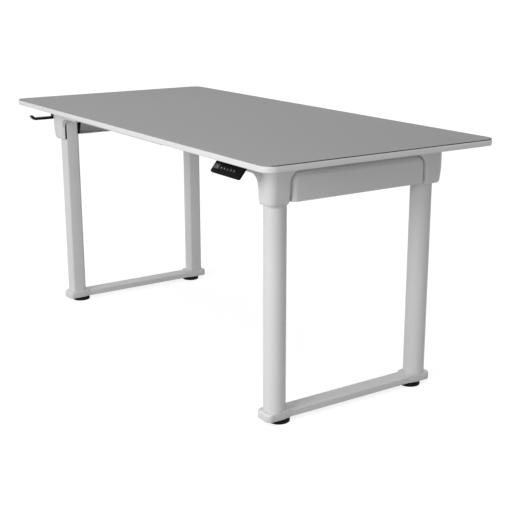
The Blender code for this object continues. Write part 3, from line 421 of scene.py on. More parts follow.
# ---------------------------------------------------------------- solids
class Bench:
    """Makes, cuts and finishes solids. Cutters and half-made pieces are cleared away after use."""

    TURNS = {
        Axis.Z: Matrix.Identity(3),
        Axis.Y: Matrix(((1, 0, 0), (0, 0, -1), (0, 1, 0))),
        Axis.X: Matrix(((0, 0, 1), (1, 0, 0), (0, 1, 0))),
    }
    SMOOTH = math.radians(32.0)

    @staticmethod
    def hold(name: str, data: bpy.types.ID) -> bpy.types.Object:
        """Puts a mesh, light or camera in the scene.

        Args:
            name: The object's name.
            data: What it shows.

        Returns:
            The object.
        """
        obj = bpy.data.objects.new(name, data)
        bpy.context.scene.collection.objects.link(obj)
        return obj

    @classmethod
    def made(cls, name: str, bm: bmesh.types.BMesh) -> bpy.types.Object:
        """Turns a half-made mesh into an object, with its faces outwards.

        Args:
            name: The object's name.
            bm: The half-made mesh, which is freed.

        Returns:
            The object.
        """
        bmesh.ops.recalc_face_normals(bm, faces=bm.faces)
        mesh = bpy.data.meshes.new(name)
        bm.to_mesh(mesh)
        bm.free()
        return cls.hold(name, mesh)

    @staticmethod
    def band(
        bm: bmesh.types.BMesh, first: Sequence[bmesh.types.BMVert], second: Sequence[bmesh.types.BMVert]
    ) -> None:
        """Joins two rings of points with faces.

        Args:
            bm: The half-made mesh.
            first: One ring, or a single point for a fan.
            second: The other, likewise.
        """
        count = max(len(first), len(second))
        for i in range(count):
            j = (i + 1) % count
            around = (
                first[i % len(first)], first[j % len(first)], second[j % len(second)], second[i % len(second)]
            )
            bm.faces.new(tuple(dict.fromkeys(around)))

    @classmethod
    def drawn(cls, name: str, loops: Sequence[Loop], axis: Axis, low: float, high: float) -> bpy.types.Object:
        """Draws an outline out along an axis.

        Args:
            name: The object's name.
            loops: One outline, or an outer and an inner one with as many points each.
            axis: Z takes points in (x, y), Y in (x, z) and X in (y, z).
            low: Where the solid starts along the axis.
            high: Where it ends.

        Returns:
            The solid.
        """
        turn = cls.TURNS[axis]
        shift = turn @ Vector((0.0, 0.0, -1.0 if axis is Axis.Y else 1.0))
        bm = bmesh.new()
        rows = []
        for loop in loops:
            for level in (low, high):
                rows.append([bm.verts.new(turn @ Vector((a, b, 0.0)) + shift * level) for a, b in loop])
        for lower, upper in zip(rows[::2], rows[1::2]):
            cls.band(bm, lower, upper)
        if len(loops) == 1:
            bm.faces.new(rows[0])
            bm.faces.new(rows[1])
        else:
            cls.band(bm, rows[0], rows[2])
            cls.band(bm, rows[1], rows[3])
        return cls.made(name, bm)

    @classmethod
    def loft(cls, name: str, rings: Sequence[tuple[Loop, float]]) -> bpy.types.Object:
        """Joins level rings of equally many points, from the lowest to the highest.

        Args:
            name: The object's name.
            rings: Each outline with its height.

        Returns:
            The solid, closed at both ends.
        """
        bm = bmesh.new()
        rows = [[bm.verts.new((x, y, z)) for x, y in loop] for loop, z in rings]
        for lower, upper in zip(rows, rows[1:]):
            cls.band(bm, lower, upper)
        bm.faces.new(rows[0])
        bm.faces.new(rows[-1])
        return cls.made(name, bm)

    @classmethod
    def box(cls, name: str, low: Sequence[float], high: Sequence[float]) -> bpy.types.Object:
        """A block between two corners, given in any order."""
        (x0, x1), (y0, y1), (z0, z1) = (sorted(pair) for pair in zip(low, high))
        return cls.drawn(name, [[(x0, y0), (x1, y0), (x1, y1), (x0, y1)]], Axis.Z, z0, z1)

    @classmethod
    def rod(
        cls, name: str, centre: Point, radius: float, low: float, high: float, axis: Axis = Axis.Z,
        steps: int = 64
    ) -> bpy.types.Object:
        """A cylinder along an axis, through a centre given in the other two directions."""
        circle = arc(centre, radius, 0.0, 360.0 * (steps - 1) / steps, steps - 1)
        return cls.drawn(name, [circle], axis, low, high)

    @classmethod
    def lathe(cls, name: str, profile: Sequence[Point], steps: int = 64) -> bpy.types.Object:
        """Turns a profile about Z.

        Args:
            name: The object's name.
            profile: (radius, height) points; where it starts and ends on the axis it is closed.
            steps: Sides of the turned solid.

        Returns:
            The solid, turned about the origin.
        """
        bm = bmesh.new()
        rows = []
        for radius, height in profile:
            on_axis = radius < 1e-7
            ring = [(0.0, 0.0)] if on_axis else arc((0, 0), radius, 0, 360 * (1 - 1 / steps), steps - 1)
            rows.append([bm.verts.new((x, y, height)) for x, y in ring])
        pairs = list(zip(rows, rows[1:]))
        if len(rows[0]) > 1 and len(rows[-1]) > 1:
            pairs.append((rows[-1], rows[0]))
        for first, second in pairs:
            cls.band(bm, first, second)
        return cls.made(name, bm)

    @staticmethod
    def settle(obj: bpy.types.Object) -> bpy.types.Object:
        """Replaces an object's mesh with what its modifiers make of it.

        Args:
            obj: The object.

        Returns:
            The same object.
        """
        bpy.context.view_layer.update()
        graph = bpy.context.evaluated_depsgraph_get()
        mesh = bpy.data.meshes.new_from_object(obj.evaluated_get(graph))
        obj.modifiers.clear()
        old = obj.data
        obj.data = mesh
        bpy.data.meshes.remove(old)
        return obj

    @classmethod
    def soften(
        cls,
        obj: bpy.types.Object,
        width: float,
        segments: int = 4,
        angle: float = 40.0,
        chosen: Callable[[Vector, Vector], bool] | None = None,
    ) -> bpy.types.Object:
        """Rounds edges.

        Args:
            obj: The solid.
            width: Radius of the rounding.
            segments: Pieces in the rounding.
            angle: Edges sharper than this are rounded.
            chosen: Says of an edge's two ends whether it is rounded; all sharp edges if left out.

        Returns:
            The same solid.
        """
        modifier = obj.modifiers.new("rounding", "BEVEL")
        modifier.width = width
        modifier.segments = segments
        modifier.angle_limit = math.radians(angle)
        modifier.harden_normals = False
        if chosen:
            modifier.limit_method = "WEIGHT"
            bm = bmesh.new()
            bm.from_mesh(obj.data)
            layer = bm.edges.layers.float.new("bevel_weight_edge")
            for edge in bm.edges:
                sharp = len(edge.link_faces) < 2 or edge.calc_face_angle(0.0) > math.radians(angle)
                edge[layer] = float(sharp and chosen(edge.verts[0].co, edge.verts[1].co))
            bm.to_mesh(obj.data)
            bm.free()
        else:
            modifier.limit_method = "ANGLE"
        return cls.settle(obj)

    @classmethod
    def combine(cls, operation: str, obj: bpy.types.Object, *tools: bpy.types.Object) -> bpy.types.Object:
        """Combines a solid with tools, one by one, and clears them away.

        Args:
            operation: DIFFERENCE or UNION.
            obj: The solid.
            tools: The other solids.

        Returns:
            The same solid.
        """
        for tool in tools:
            modifier = obj.modifiers.new("combine", "BOOLEAN")
            modifier.operation = operation
            modifier.object = tool
            modifier.solver = "EXACT"
            cls.settle(obj)
            cls.scrap(tool)
        return obj

    @classmethod
    def cut(cls, obj: bpy.types.Object, *tools: bpy.types.Object) -> bpy.types.Object:
        """Cuts away each tool."""
        return cls.combine("DIFFERENCE", obj, *tools)

    @classmethod
    def weld(cls, obj: bpy.types.Object, *tools: bpy.types.Object) -> bpy.types.Object:
        """Joins on each tool."""
        return cls.combine("UNION", obj, *tools)

    @staticmethod
    def scrap(obj: bpy.types.Object) -> None:
        """Removes an object and its mesh.

        Args:
            obj: The object.
        """
        mesh = obj.data
        bpy.data.objects.remove(obj, do_unlink=True)
        bpy.data.meshes.remove(mesh)

    @classmethod
    def gather(cls, name: str, objects: Iterable[bpy.types.Object]) -> bpy.types.Object:
        """Puts separate solids into one object.

        Args:
            name: The new object's name.
            objects: The solids, which are cleared away.

        Returns:
            One object that holds them all.
        """
        bm = bmesh.new()
        for obj in list(objects):
            bm.from_mesh(obj.data)
            cls.scrap(obj)
        return cls.made(name, bm)

    @classmethod
    def copy_to(cls, obj: bpy.types.Object, name: str, corner: Corner) -> bpy.types.Object:
        """Copies a solid made in a column's own directions to its corner.

        Args:
            obj: The solid, in (outwards along X, outwards along Y, up).
            name: The copy's name.
            corner: The corner it goes to.

        Returns:
            The copy, in the desk's frame.
        """
        mesh = obj.data.copy()
        mesh.name = name
        mesh.transform(corner.matrix())
        if corner.flips():
            mesh.flip_normals()
        return cls.hold(name, mesh)

    @classmethod
    def shade(cls, obj: bpy.types.Object) -> bpy.types.Object:
        """Smooths faces that meet at less than a small angle.

        Args:
            obj: The object.

        Returns:
            The same object.
        """
        obj.data.shade_smooth()
        obj.data.set_sharp_from_angle(angle=cls.SMOOTH)
        return obj


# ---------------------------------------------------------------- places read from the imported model
@dataclass(frozen=True)
class Box:
    """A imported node's box."""

    low: Vector
    high: Vector

    @classmethod
    def of(cls, node: str) -> Box:
        """Reads a node's box."""
        low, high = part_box(node)
        return cls(low, high)

    @property
    def middle(self) -> Vector:
        """The box's centre."""
        return (self.low + self.high) / 2


@dataclass(frozen=True)
class Corner:
    """One column's corner, with directions that point outwards."""

    end: End
    side: Side

    @property
    def name(self) -> str:
        """The corner's part of a node name."""
        return f"{self.side.name.lower()}_{self.end.name.lower()}"

    @property
    def axis(self) -> Vector:
        """A point on the column's axis, at the floor."""
        middle = Box.of(f"lift_spindle_{self.name}").middle
        return Vector((middle.x, middle.y, 0.0))

    def matrix(self) -> Matrix:
        """Turns the column's own directions into the desk's."""
        return Matrix.Translation(self.axis) @ Matrix.Diagonal((self.end.value, self.side.value, 1.0, 1.0))

    def flips(self) -> bool:
        """Whether that turn mirrors a solid."""
        return self.end.value * self.side.value < 0


CORNERS = [Corner(end, side) for end in End for side in Side]


class SubAssembly:
    """A group of pieces that are made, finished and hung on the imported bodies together."""

    def wear(self, obj: bpy.types.Object, finish: Finish, *others: Finish) -> bpy.types.Object:
        """Gives a piece its finish.

        Args:
            obj: The piece.
            finish: Its main finish.
            others: More finishes, for faces that have a later material index.

        Returns:
            The same piece.
        """
        obj.data.materials.clear()
        for each in (finish, *others):
            obj.data.materials.append(each.material())
        return obj

    def keep(self, node: str, finish: Finish) -> None:
        """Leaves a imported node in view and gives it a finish.

        Args:
            node: The node's name.
            finish: Its finish.
        """
        obj = FRAME["nodes"][node]
        obj.data.materials.clear()
        obj.data.materials.append(finish.material())
        Bench.shade(obj)
        LOG.info("%s keeps its packed shape", node)

    def mount(self, obj: bpy.types.Object, body: str, *nodes: str) -> None:
        """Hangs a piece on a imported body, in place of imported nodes.

        Args:
            obj: The piece.
            body: The body it moves with.
            nodes: The nodes it stands for.
        """
        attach(obj, body)
        if nodes:
            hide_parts(*nodes)
        LOG.info("%s rides on %s with %d faces", obj.name, body, len(obj.data.polygons))

    def fit(self, obj: bpy.types.Object, finish: Finish, body: str, *nodes: str) -> None:
        """Smooths a piece, gives it a finish and mounts it."""
        self.mount(self.wear(Bench.shade(obj), finish), body, *nodes)

    def build(self) -> None:
        """Builds the sub-assembly."""
        raise NotImplementedError


FRAME: dict = {}
LIFT = "lifting_frame"


def base_body(end: End) -> str:
    """The body of the base at one end."""
    return f"{end.name.lower()}_base"


# ---------------------------------------------------------------- top
@dataclass
class Desktop(SubAssembly):
    """The white board and the grey sheet bonded to it."""

    corner: float = 0.035
    edge: float = 0.0030
    sheet_edge: float = 0.0005
    sheet_spread: float = 0.0018

    def build(self) -> None:
        """Builds the board and the sheet."""
        box = Box.of("desktop_board")
        board = Bench.drawn(
            "worktop_board", [rounded(box.low.xy, box.high.xy, self.corner, 24)], Axis.Z, box.low.z,
            box.high.z
        )
        self.fit(Bench.soften(board, self.edge, 6), BOARD, LIFT, "desktop_board")
        box = Box.of("desktop_surface_sheet")
        inset = box.low.x - Box.of("desktop_board").low.x
        spread = Vector((self.sheet_spread, self.sheet_spread))
        outline = rounded(
            box.low.xy - spread, box.high.xy + spread, self.corner - inset + self.sheet_spread, 24
        )
        sheet = Bench.drawn("surface_sheet", [outline], Axis.Z, box.low.z, box.high.z)
        Bench.soften(sheet, self.sheet_edge, 3, chosen=lambda a, b: min(a.z, b.z) > box.middle.z)
        top = box.high.z - 0.4 * self.sheet_edge
        Bench.shade(sheet)
        self.wear(sheet, SHEET_TOP, SHEET_SHADED_EDGE)
        # Edge faces that face the front keep the top's colour; the other side edges get the near-black
        # painted shade.
        for face in sheet.data.polygons:
            face.material_index = int(face.center.z < top and face.normal.y > -0.5)
        self.mount(sheet, LIFT, "desktop_surface_sheet")


# ---------------------------------------------------------------- corner castings and their liners
@dataclass
class CornerCastings(SubAssembly):
    """The painted castings on top of the columns, each with a black gearbox liner inside."""

    gap: float = 0.0003
    out: float = 0.0435
    front: float = 0.0470
    inward: float = 0.0240
    round_front: float = 0.0260
    seam: float = 0.0240
    seam_round: float = 0.0125
    taper: float = 0.0030
    taper_top: float = 0.6425
    lip_round: float = 0.0120
    lip_reach: float = 0.0075
    lip_bore: float = 0.0318
    lip_depth: float = 0.0080
    bore: float = 0.0353
    liner_foot: float = -0.0160
    flat: float = 0.0230
    arm: float = 0.1415
    arm_bottom: float = 0.6725
    arm_v: Point = (-0.0120, 0.0360)
    arm_fillet: float = 0.0300
    arm_edge: float = 0.0020
    side_reach: float = 0.0600
    side_u: float = 0.0135
    side_round: float = 0.0120
    side_bottom: float = 0.6450
    apron_top: float = 0.6825
    apron_corner: float = 0.0285
    box_u: Point = (-0.0260, 0.0300)
    box_v: Point = (-0.0225, 0.0300)
    boss_u: float = 0.0125
    boss_v: float = -0.0380
    collar: float = 0.0350
    collar_bore: float = 0.0310
    back_bottom: float = 0.6150
    ceiling: float = 0.6680
    collar_lap: float = 0.0041
    cheek_v: Point = (-0.0220, -0.0280)
    root: float = -0.0100
    socket_u: float = -0.0450
    screw: Triple = (0.0052, 0.0030, 0.0020)
    screw_places: Point = (0.075, 0.120)

    def __post_init__(self) -> None:
        """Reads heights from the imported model."""
        bracket = Box.of("corner_bracket_front_right")
        gearbox = Box.of("gearbox_front_right")
        self.lip, self.under = bracket.low.z, bracket.high.z
        self.liner_bottom = gearbox.low.z
        self.collar_top = self.ceiling + self.collar_lap

    def plan(self, inset: float) -> Loop:
        """The casting's outline from above.

        Args:
            inset: How far its outer, front and seam sides are drawn in.

        Returns:
            The outline, in a column's own directions.
        """
        out, front, seam, r = (
            self.out - inset, self.front - inset, self.seam - inset, self.round_front - inset
        )
        back = max(self.seam_round - inset, 0.003)
        return (
            arc((out - back, back - seam), back, -90, 0, 14)
            + arc((out - r, front - r), r, 0, 90, 28)
            + arc((r - self.inward, front - r), r, 90, 180, 28)
            + [(-self.inward, -seam)]
        )

    def casting(self, end: End) -> bpy.types.Object:
        """Makes a casting in a column's own directions.

        Args:
            end: The left castings take the larger beam, the right ones the smaller.

        Returns:
            The casting.
        """
        rings = []
        for i in range(13):
            turn = math.radians(90 * i / 12)
            inset = self.taper + self.lip_reach * (1 - math.sin(turn))
            rings.append((self.plan(inset), self.lip + self.lip_round * (1 - math.cos(turn))))
        bend = self.taper_top - self.lip - self.lip_round
        for i in range(1, 9):
            share = 1 - i / 8
            rings.append((self.plan(self.taper * share**1.3), self.lip + self.lip_round + bend * (1 - share)))
        body = Bench.loft("casting", [*rings, (self.plan(0.0), self.under)])
        # arm for the crossbeam
        fillet = self.arm_fillet
        side = [(self.root, self.under), (-self.arm, self.under), (-self.arm, self.arm_bottom)]
        side += arc((-self.inward - fillet, self.arm_bottom - fillet), fillet, 90, 0, 24)
        side += [(self.root, self.arm_bottom - fillet)]
        arm = Bench.drawn("beam_arm", [side], Axis.Y, *self.arm_v)
        Bench.soften(
            arm, self.arm_edge, 4, 30.0,
            chosen=lambda a, b: min(a.x, b.x) < -self.inward - MM / 2 and max(a.z, b.z) < self.under - MM,
        )
        # arm over the end of the apron
        hair = 0.00005
        r = self.apron_corner
        end_loop = [
            (self.root, self.under), (-self.side_reach, self.under), (-self.side_reach, self.apron_top)
        ]
        end_loop += arc((-self.seam - r, self.apron_top - r), r, 90, 0, 24)
        end_loop += [(-self.seam, self.side_bottom), (self.root, self.side_bottom)]
        end_loop = [(v + hair, z) for v, z in end_loop]
        outside = self.out - hair
        over = Bench.drawn("apron_arm", [end_loop], Axis.X, self.side_u, outside)
        Bench.soften(
            over, self.side_round, 10,
            chosen=lambda a, b: min(a.x, b.x) > outside - hair
            and max(a.z, b.z) < self.under - MM
            and max(a.y, b.y) < -self.seam / 2,
        )
        Bench.weld(body, arm, over)
        # room for the column, the gearbox and the beam
        beam = Box.of(f"crossbeam_front_{end.name.lower()}")
        y = Corner(end, Side.FRONT).axis.y
        low_v, high_v = y - beam.high.y - self.gap, y - beam.low.y + self.gap
        deep, top = self.lip - 0.01, self.under + 0.01
        ledge = self.lip + self.lip_depth
        half = math.degrees(math.acos(self.liner_foot / self.bore))
        Bench.cut(
            body,
            Bench.rod("lip_bore", (0, 0), self.lip_bore, deep, ledge + 0.01, steps=96),
            Bench.rod("column_bore", (0, 0), self.bore, ledge, self.collar_top + self.gap, steps=96),
            Bench.drawn(
                "liner_room", [arc((0, 0), self.bore, half, 360 - half, 40)], Axis.Z, deep, ledge + MM
            ),
            Bench.box(
                "gearbox_room",
                (self.box_u[0] - self.gap, self.boss_v - self.gap, self.ceiling - self.gap),
                (self.box_u[1] + self.gap, self.box_v[1] + self.gap, top),
            ),
            Bench.box(
                "beam_socket", (-self.arm - 0.01, low_v, beam.low.z - self.gap), (self.socket_u, high_v, top)
            ),
        )
        return body

    def liner(self) -> bpy.types.Object:
        """Makes a gearbox with its collar.

        Returns:
            The gearbox, in a column's own directions.
        """
        u, v = self.box_u, self.box_v
        body = Bench.box("gearbox", (u[0], v[0], self.ceiling), (u[1], v[1], self.under))
        boss = Bench.box("boss", (u[0], self.boss_v, self.ceiling), (self.boss_u, 0.0, self.under))
        plug = Bench.drawn(
            "collar", [flatted(self.collar, self.flat)], Axis.Z, self.liner_bottom, self.collar_top
        )
        low = self.back_bottom
        inner_v, outer_v = self.cheek_v
        cheek_loop = [
            (inner_v, self.collar_top), (self.boss_v, self.collar_top), (outer_v, low), (inner_v, low)
        ]
        cheek = Bench.drawn("cheek", [cheek_loop], Axis.X, -self.flat, self.boss_u)
        Bench.weld(body, boss, plug, cheek)
        deep, wide = self.lip - 0.01, self.bore + 0.02
        ledge = self.lip + self.lip_depth + self.gap
        Bench.cut(
            body,
            Bench.rod("collar_bore", (0, 0), self.collar_bore, deep, self.ceiling, steps=96),
            Bench.box("collar_mouth", (-self.bore, -wide, deep), (-self.flat, self.bore, self.ceiling)),
            Bench.box("collar_back", (-self.bore, -wide, deep), (self.bore, -self.boss_u, low)),
            Bench.box("liner_foot", (self.liner_foot - self.gap, -wide, deep), (wide, wide, ledge)),
            Bench.box(
                "apron_room", (self.boss_u, -wide, deep), (wide, -self.seam + self.gap, self.under + 0.01)
            ),
        )
        return body

    def build(self) -> None:
        """Builds the four castings, the four liners and the screws that hold the beams."""
        liner = self.liner()
        for end in End:
            casting = self.casting(end)
            for side in Side:
                corner = Corner(end, side)
                piece = Bench.copy_to(casting, f"corner_casting_{corner.name}", corner)
                self.fit(piece, PAINT, LIFT, f"corner_bracket_{corner.name}")
                piece = Bench.copy_to(liner, f"gearbox_liner_{corner.name}", corner)
                self.fit(piece, PLASTIC, LIFT, f"gearbox_{corner.name}")
                self.screws(corner)
            Bench.scrap(casting)
        Bench.scrap(liner)

    def screws(self, corner: Corner) -> None:
        """Adds the two socket screws under an arm, which clamp the beam.

        Args:
            corner: The arm's corner.
        """
        places = [(-along, sum(self.arm_v) / 2, self.arm_bottom) for along in self.screw_places]
        group = Bench.gather("beam_screws", [hanging_screw(self.screw, place) for place in places])
        self.fit(Bench.copy_to(group, f"beam_screws_{corner.name}", corner), ZINC, LIFT)
        Bench.scrap(group)


def hanging_screw(size: Triple, place: Sequence[float]) -> bpy.types.Object:
    """The head of a button-head screw with a hexagon socket, driven in from below.

    Args:
        size: Radius of the head, its height and the radius of the hexagon.
        place: Where the head meets the surface.

    Returns:
        The head.
    """
    radius, height, key = size
    dome = [
        (radius * math.cos(math.radians(a)), height * math.sin(math.radians(a))) for a in range(10, 80, 10)
    ]
    head = Bench.lathe("screw", [(0.0, height), *reversed(dome), (radius, 0.0), (0.0, 0.0)], 36)
    Bench.cut(head, Bench.rod("hexagon", (0, 0), key, height * 0.35, height * 2, steps=6))
    head.data.transform(Matrix.Translation(place) @ Matrix.Rotation(math.pi, 4, "X"))
    return head


# ---------------------------------------------------------------- columns
@dataclass
class Columns(SubAssembly):
    """The telescopic tubes, the caps under them and the levelling feet."""

    outer_radius: float = 0.0302
    outer_flat: float = 0.0230
    outer_wall: float = 0.0020
    inner_radius: float = 0.0262
    inner_wall: float = 0.0018
    tube_edge: float = 0.0012
    cap_front: float = 0.0400
    cap_back: float = 0.0360
    cap_side: float = 0.0304
    cap_tail: float = 0.0258
    cap_corner: float = 0.0145
    cap_slope: float = 0.0065
    foot_edge: float = 0.0030
    foot_disc: float = 0.0095
    foot_neck: float = 0.0132
    neck_radius: float = 0.0090
    stud_radius: float = 0.0040
    stud_bore: float = 0.0043
    stud_roof: float = 0.0055

    def tube(self, name: str, radius: float, flat: float, wall: float, box: Box) -> bpy.types.Object:
        """A column tube in its own directions.

        Args:
            name: The object's name.
            radius: Outer radius.
            flat: Distance of the flat from the axis.
            wall: Thickness of the tube.
            box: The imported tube's box, for its two ends.

        Returns:
            The tube.
        """
        loops = [flatted(radius, flat), flatted(radius - wall, flat - wall)]
        tube = Bench.drawn(name, loops, Axis.Z, box.low.z, box.high.z)
        corner = -math.sqrt(radius**2 - flat**2)
        return Bench.soften(
            tube, self.tube_edge, 3, 30.0,
            chosen=lambda a, b: abs(a.z - b.z) > 0.1 and abs(abs(a.y) + corner) < 0.0001 and a.x < 0,
        )

    def cap_plan(self, slope: float, inset: float = 0.0) -> Loop:
        """A foot cap's outline from above, in a column's own directions.

        Args:
            slope: From 0 to 1, draws in the part in front of the column.
            inset: Draws in every side but the back.

        Returns:
            The outline.
        """
        side, front, back, r = (
            self.cap_side - inset, self.cap_front - inset, self.cap_back, self.cap_corner - inset
        )
        tail = self.cap_tail - inset
        loop = [(side, -back / 3)] + arc((side - r, front - r), r, 0, 90, 20)
        loop += arc((r - side, front - r), r, 90, 180, 20) + [
            (-side, -back / 3), (-tail, -back), (tail, -back)
        ]
        drawn = []
        for u, v in loop:
            share = slope * min(max(v / (front - r), 0.0), 1.0)
            drawn.append(
                (u * (1 - share * self.cap_slope / side / 2), v * (1 - share * self.cap_slope / front))
            )
        return drawn

    def cap(self, box: Box, inset: float) -> bpy.types.Object:
        """A foot cap in a column's own directions, with a rounded shoulder in front of the tube.

        Args:
            box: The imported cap's box.
            inset: How far the foot's stud is from the column's axis.

        Returns:
            The cap.
        """
        top, low = box.high.z, box.low.z
        soft_edge = ((0.0012, 0.0), (0.0004, 0.0004), (0.0, 0.0012))
        rings = [(self.cap_plan(0.0, inward), low + up) for inward, up in soft_edge]
        for i in range(13):
            turn = math.radians(90 * i / 12)
            rings.append((self.cap_plan(1 - math.cos(turn)), top - self.cap_slope * (1 - math.sin(turn))))
        hole = Bench.rod(
            "stud_hole", (0.0, -inset), self.stud_bore, low - 0.01, top - self.stud_roof, steps=32
        )
        return Bench.cut(Bench.loft("cap", rings), hole)

    def foot(self, box: Box) -> bpy.types.Object:
        """A levelling foot about its own axis: disc, neck and stud.

        Args:
            box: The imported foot's box.

        Returns:
            The foot.
        """
        radius = (box.high.x - box.low.x) / 2
        disc, neck, top, edge = self.foot_disc, self.foot_neck, box.high.z, self.foot_edge
        stud, wide = self.stud_radius, self.neck_radius
        profile = [(0.0, top), (stud - 0.0007, top), (stud, top - 0.0007), (stud, neck)]
        profile += [
            (wide - 0.0006, neck), (wide, neck - 0.0006), (wide, disc + 0.0006), (wide + 0.0006, disc)
        ]
        profile += arc((radius - edge, disc - edge), edge, 90, 0, 8)
        profile += arc((radius - edge / 2, edge / 2), edge / 2, 0, -90, 5)
        return Bench.lathe("foot", [*profile, (0.0, 0.0)], 72)

    def build(self) -> None:
        """Builds the tubes, caps and feet of all four columns."""
        first = CORNERS[0]
        flat = self.outer_flat - (self.outer_radius - self.inner_radius)
        tube_box = {kind: Box.of(f"{kind}_tube_{first.name}") for kind in ("outer", "inner")}
        foot_box = Box.of(f"levelling_foot_{first.name}")
        outer = self.tube("outer", self.outer_radius, self.outer_flat, self.outer_wall, tube_box["outer"])
        inner = self.tube("inner", self.inner_radius, flat, self.inner_wall, tube_box["inner"])
        cap = self.cap(Box.of(f"foot_cap_{first.name}"), abs(foot_box.middle.y - first.axis.y))
        foot = self.foot(foot_box)
        for corner in CORNERS:
            for source, name, body, node in (
                (outer, "column_outer", base_body(corner.end), "outer_tube"),
                (inner, "column_inner", LIFT, "inner_tube"),
                (cap, "column_foot_cap", base_body(corner.end), "foot_cap"),
            ):
                self.fit(Bench.copy_to(
                    source, f"{name}_{corner.name}", corner
                ), PAINT, body, f"{node}_{corner.name}")
            node = f"levelling_foot_{corner.name}"
            place = Box.of(node).middle
            pad = Bench.hold(f"foot_pad_{corner.name}", foot.data.copy())
            pad.data.transform(Matrix.Translation((place.x, place.y, 0.0)))
            self.fit(pad, RUBBER, node, node)
            for kind, finish in (("glide_sleeve", NYLON), ("nut_tube", STEEL), ("lift_spindle", STEEL)):
                self.keep(f"{kind}_{corner.name}", finish)
        for source in (outer, inner, cap, foot):
            Bench.scrap(source)


# ---------------------------------------------------------------- rails, aprons, beams
@dataclass
class EndFrames(SubAssembly):
    """Foot rail, apron, motor and drive shaft of each end."""

    rail_wall: float = 0.0020
    rail_round: float = 0.0026
    apron_corner: float = 0.0280
    apron_edge: float = 0.0160
    apron_wall: float = 0.0025
    can_x: float = 0.0258
    bell_inset: float = 0.0046
    screw_spread: float = 0.0125
    screw: Triple = (0.0036, 0.0022, 0.0014)

    def rail(self, end: End) -> None:
        """Builds a foot rail.

        Args:
            end: The end it stands at.
        """
        node = f"foot_rail_{end.name.lower()}"
        box = Box.of(node)
        loops = hollow((box.low.x, box.low.z), (box.high.x, box.high.z), self.rail_wall, self.rail_round, 10)
        rail = Bench.drawn(f"floor_rail_{end.name.lower()}", loops, Axis.Y, box.low.y, box.high.y)
        self.fit(rail, PAINT, base_body(end), node)

    def apron_block(self, box: Box, end: End, wall: float) -> bpy.types.Object:
        """An apron's rounded block.

        Args:
            box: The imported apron's box.
            end: The end it stands at.
            wall: How far every side is drawn in, but for the open one.

        Returns:
            The solid.
        """
        y0, y1, z0, z1 = box.low.y + wall, box.high.y - wall, box.low.z + wall, box.high.z - wall
        r = self.apron_corner - wall
        outline = [(y0, z0), (y1, z0)] + arc((y1 - r, z1 - r), r, 0, 90, 28) + arc(
            (y0 + r, z1 - r), r, 90, 180, 28
        )
        shift = -end.value * wall
        block = Bench.drawn("apron", [outline], Axis.X, box.low.x + shift, box.high.x + shift)
        outside = (box.high.x if end is End.RIGHT else box.low.x) + shift

        def on_rim(a: Vector, b: Vector) -> bool:
            """Whether an edge is on the outer face's rim, away from its lower edge."""
            return max(abs(a.x - outside), abs(b.x - outside)) < MM / 10 and max(a.z, b.z) > z0 + MM / 10

        return Bench.soften(block, self.apron_edge - wall, 14, chosen=on_rim)

    def apron(self, end: End) -> None:
        """Builds an apron: a pressed shell, open towards the middle of the desk.

        Args:
            end: The end it stands at.
        """
        node = f"end_apron_{end.name.lower()}"
        box = Box.of(node)
        apron = Bench.cut(self.apron_block(box, end, 0.0), self.apron_block(box, end, self.apron_wall))
        apron.name = apron.data.name = f"side_apron_{end.name.lower()}"
        self.fit(apron, PAINT, LIFT, node)

    def motor(self, end: End) -> None:
        """Keeps the motor and adds its end bell and the screws under its gear head.

        Args:
            end: The end it stands at.
        """
        node = f"lift_motor_{end.name.lower()}"
        self.keep(node, BLACK_STEEL)
        box = Box.of(node)
        x = box.low.x + self.can_x if end is End.RIGHT else box.high.x - self.can_x
        bell = Bench.lathe(
            "bell", [(0.0, 0.0), (0.0065, 0.0), (0.0075, 0.001), (0.0075, 0.005), (0.0, 0.005)], 40
        )
        place = Matrix.Translation((x, box.low.y + self.bell_inset, box.middle.z))
        bell.data.transform(place @ Matrix.Rotation(math.pi / 2, 4, "X"))
        y = Box.of(f"drive_shaft_{end.name.lower()}").middle.y
        heads = [hanging_screw(self.screw, (x + dx, y, box.low.z)) for dx in (
            -self.screw_spread, self.screw_spread
        )]
        self.fit(Bench.gather(f"motor_trim_{end.name.lower()}", [bell, *heads]), ZINC, LIFT)

    def build(self) -> None:
        """Builds both ends."""
        for end in End:
            self.rail(end)
            self.apron(end)
            self.motor(end)
            self.keep(f"drive_shaft_{end.name.lower()}", STEEL)


@dataclass
class Crossbeams(SubAssembly):
    """The telescoping beams along the front and the rear."""

    wall: float = 0.0022
    edge: float = 0.0030

    def build(self) -> None:
        """Builds both tubes of both beams."""
        for corner in CORNERS:
            node = f"crossbeam_{corner.name}"
            box = Box.of(node)
            loops = hollow((box.low.y, box.low.z), (box.high.y, box.high.z), self.wall, self.edge, 8)
            beam = Bench.drawn(f"beam_tube_{corner.name}", loops, Axis.X, box.low.x, box.high.x)
            self.fit(beam, PAINT, LIFT, node)


# ---------------------------------------------------------------- things fixed under the top
@dataclass
class ControlUnit(SubAssembly):
    """The control box and its board."""

    screw_inset: float = 0.012
    screw: Triple = (0.0034, 0.0020, 0.0013)

    def build(self) -> None:
        """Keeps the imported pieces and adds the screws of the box's lid."""
        self.keep("control_box", PLASTIC)
        self.keep("control_circuit_board", CIRCUIT)
        box = Box.of("control_box")
        inset = self.screw_inset
        across, along = ((low + inset, high - inset) for low, high in zip(box.low.xy, box.high.xy))
        heads = [hanging_screw(self.screw, (x, y, box.low.z)) for x in across for y in along]
        self.fit(Bench.gather("control_box_screws", heads), ZINC, LIFT)


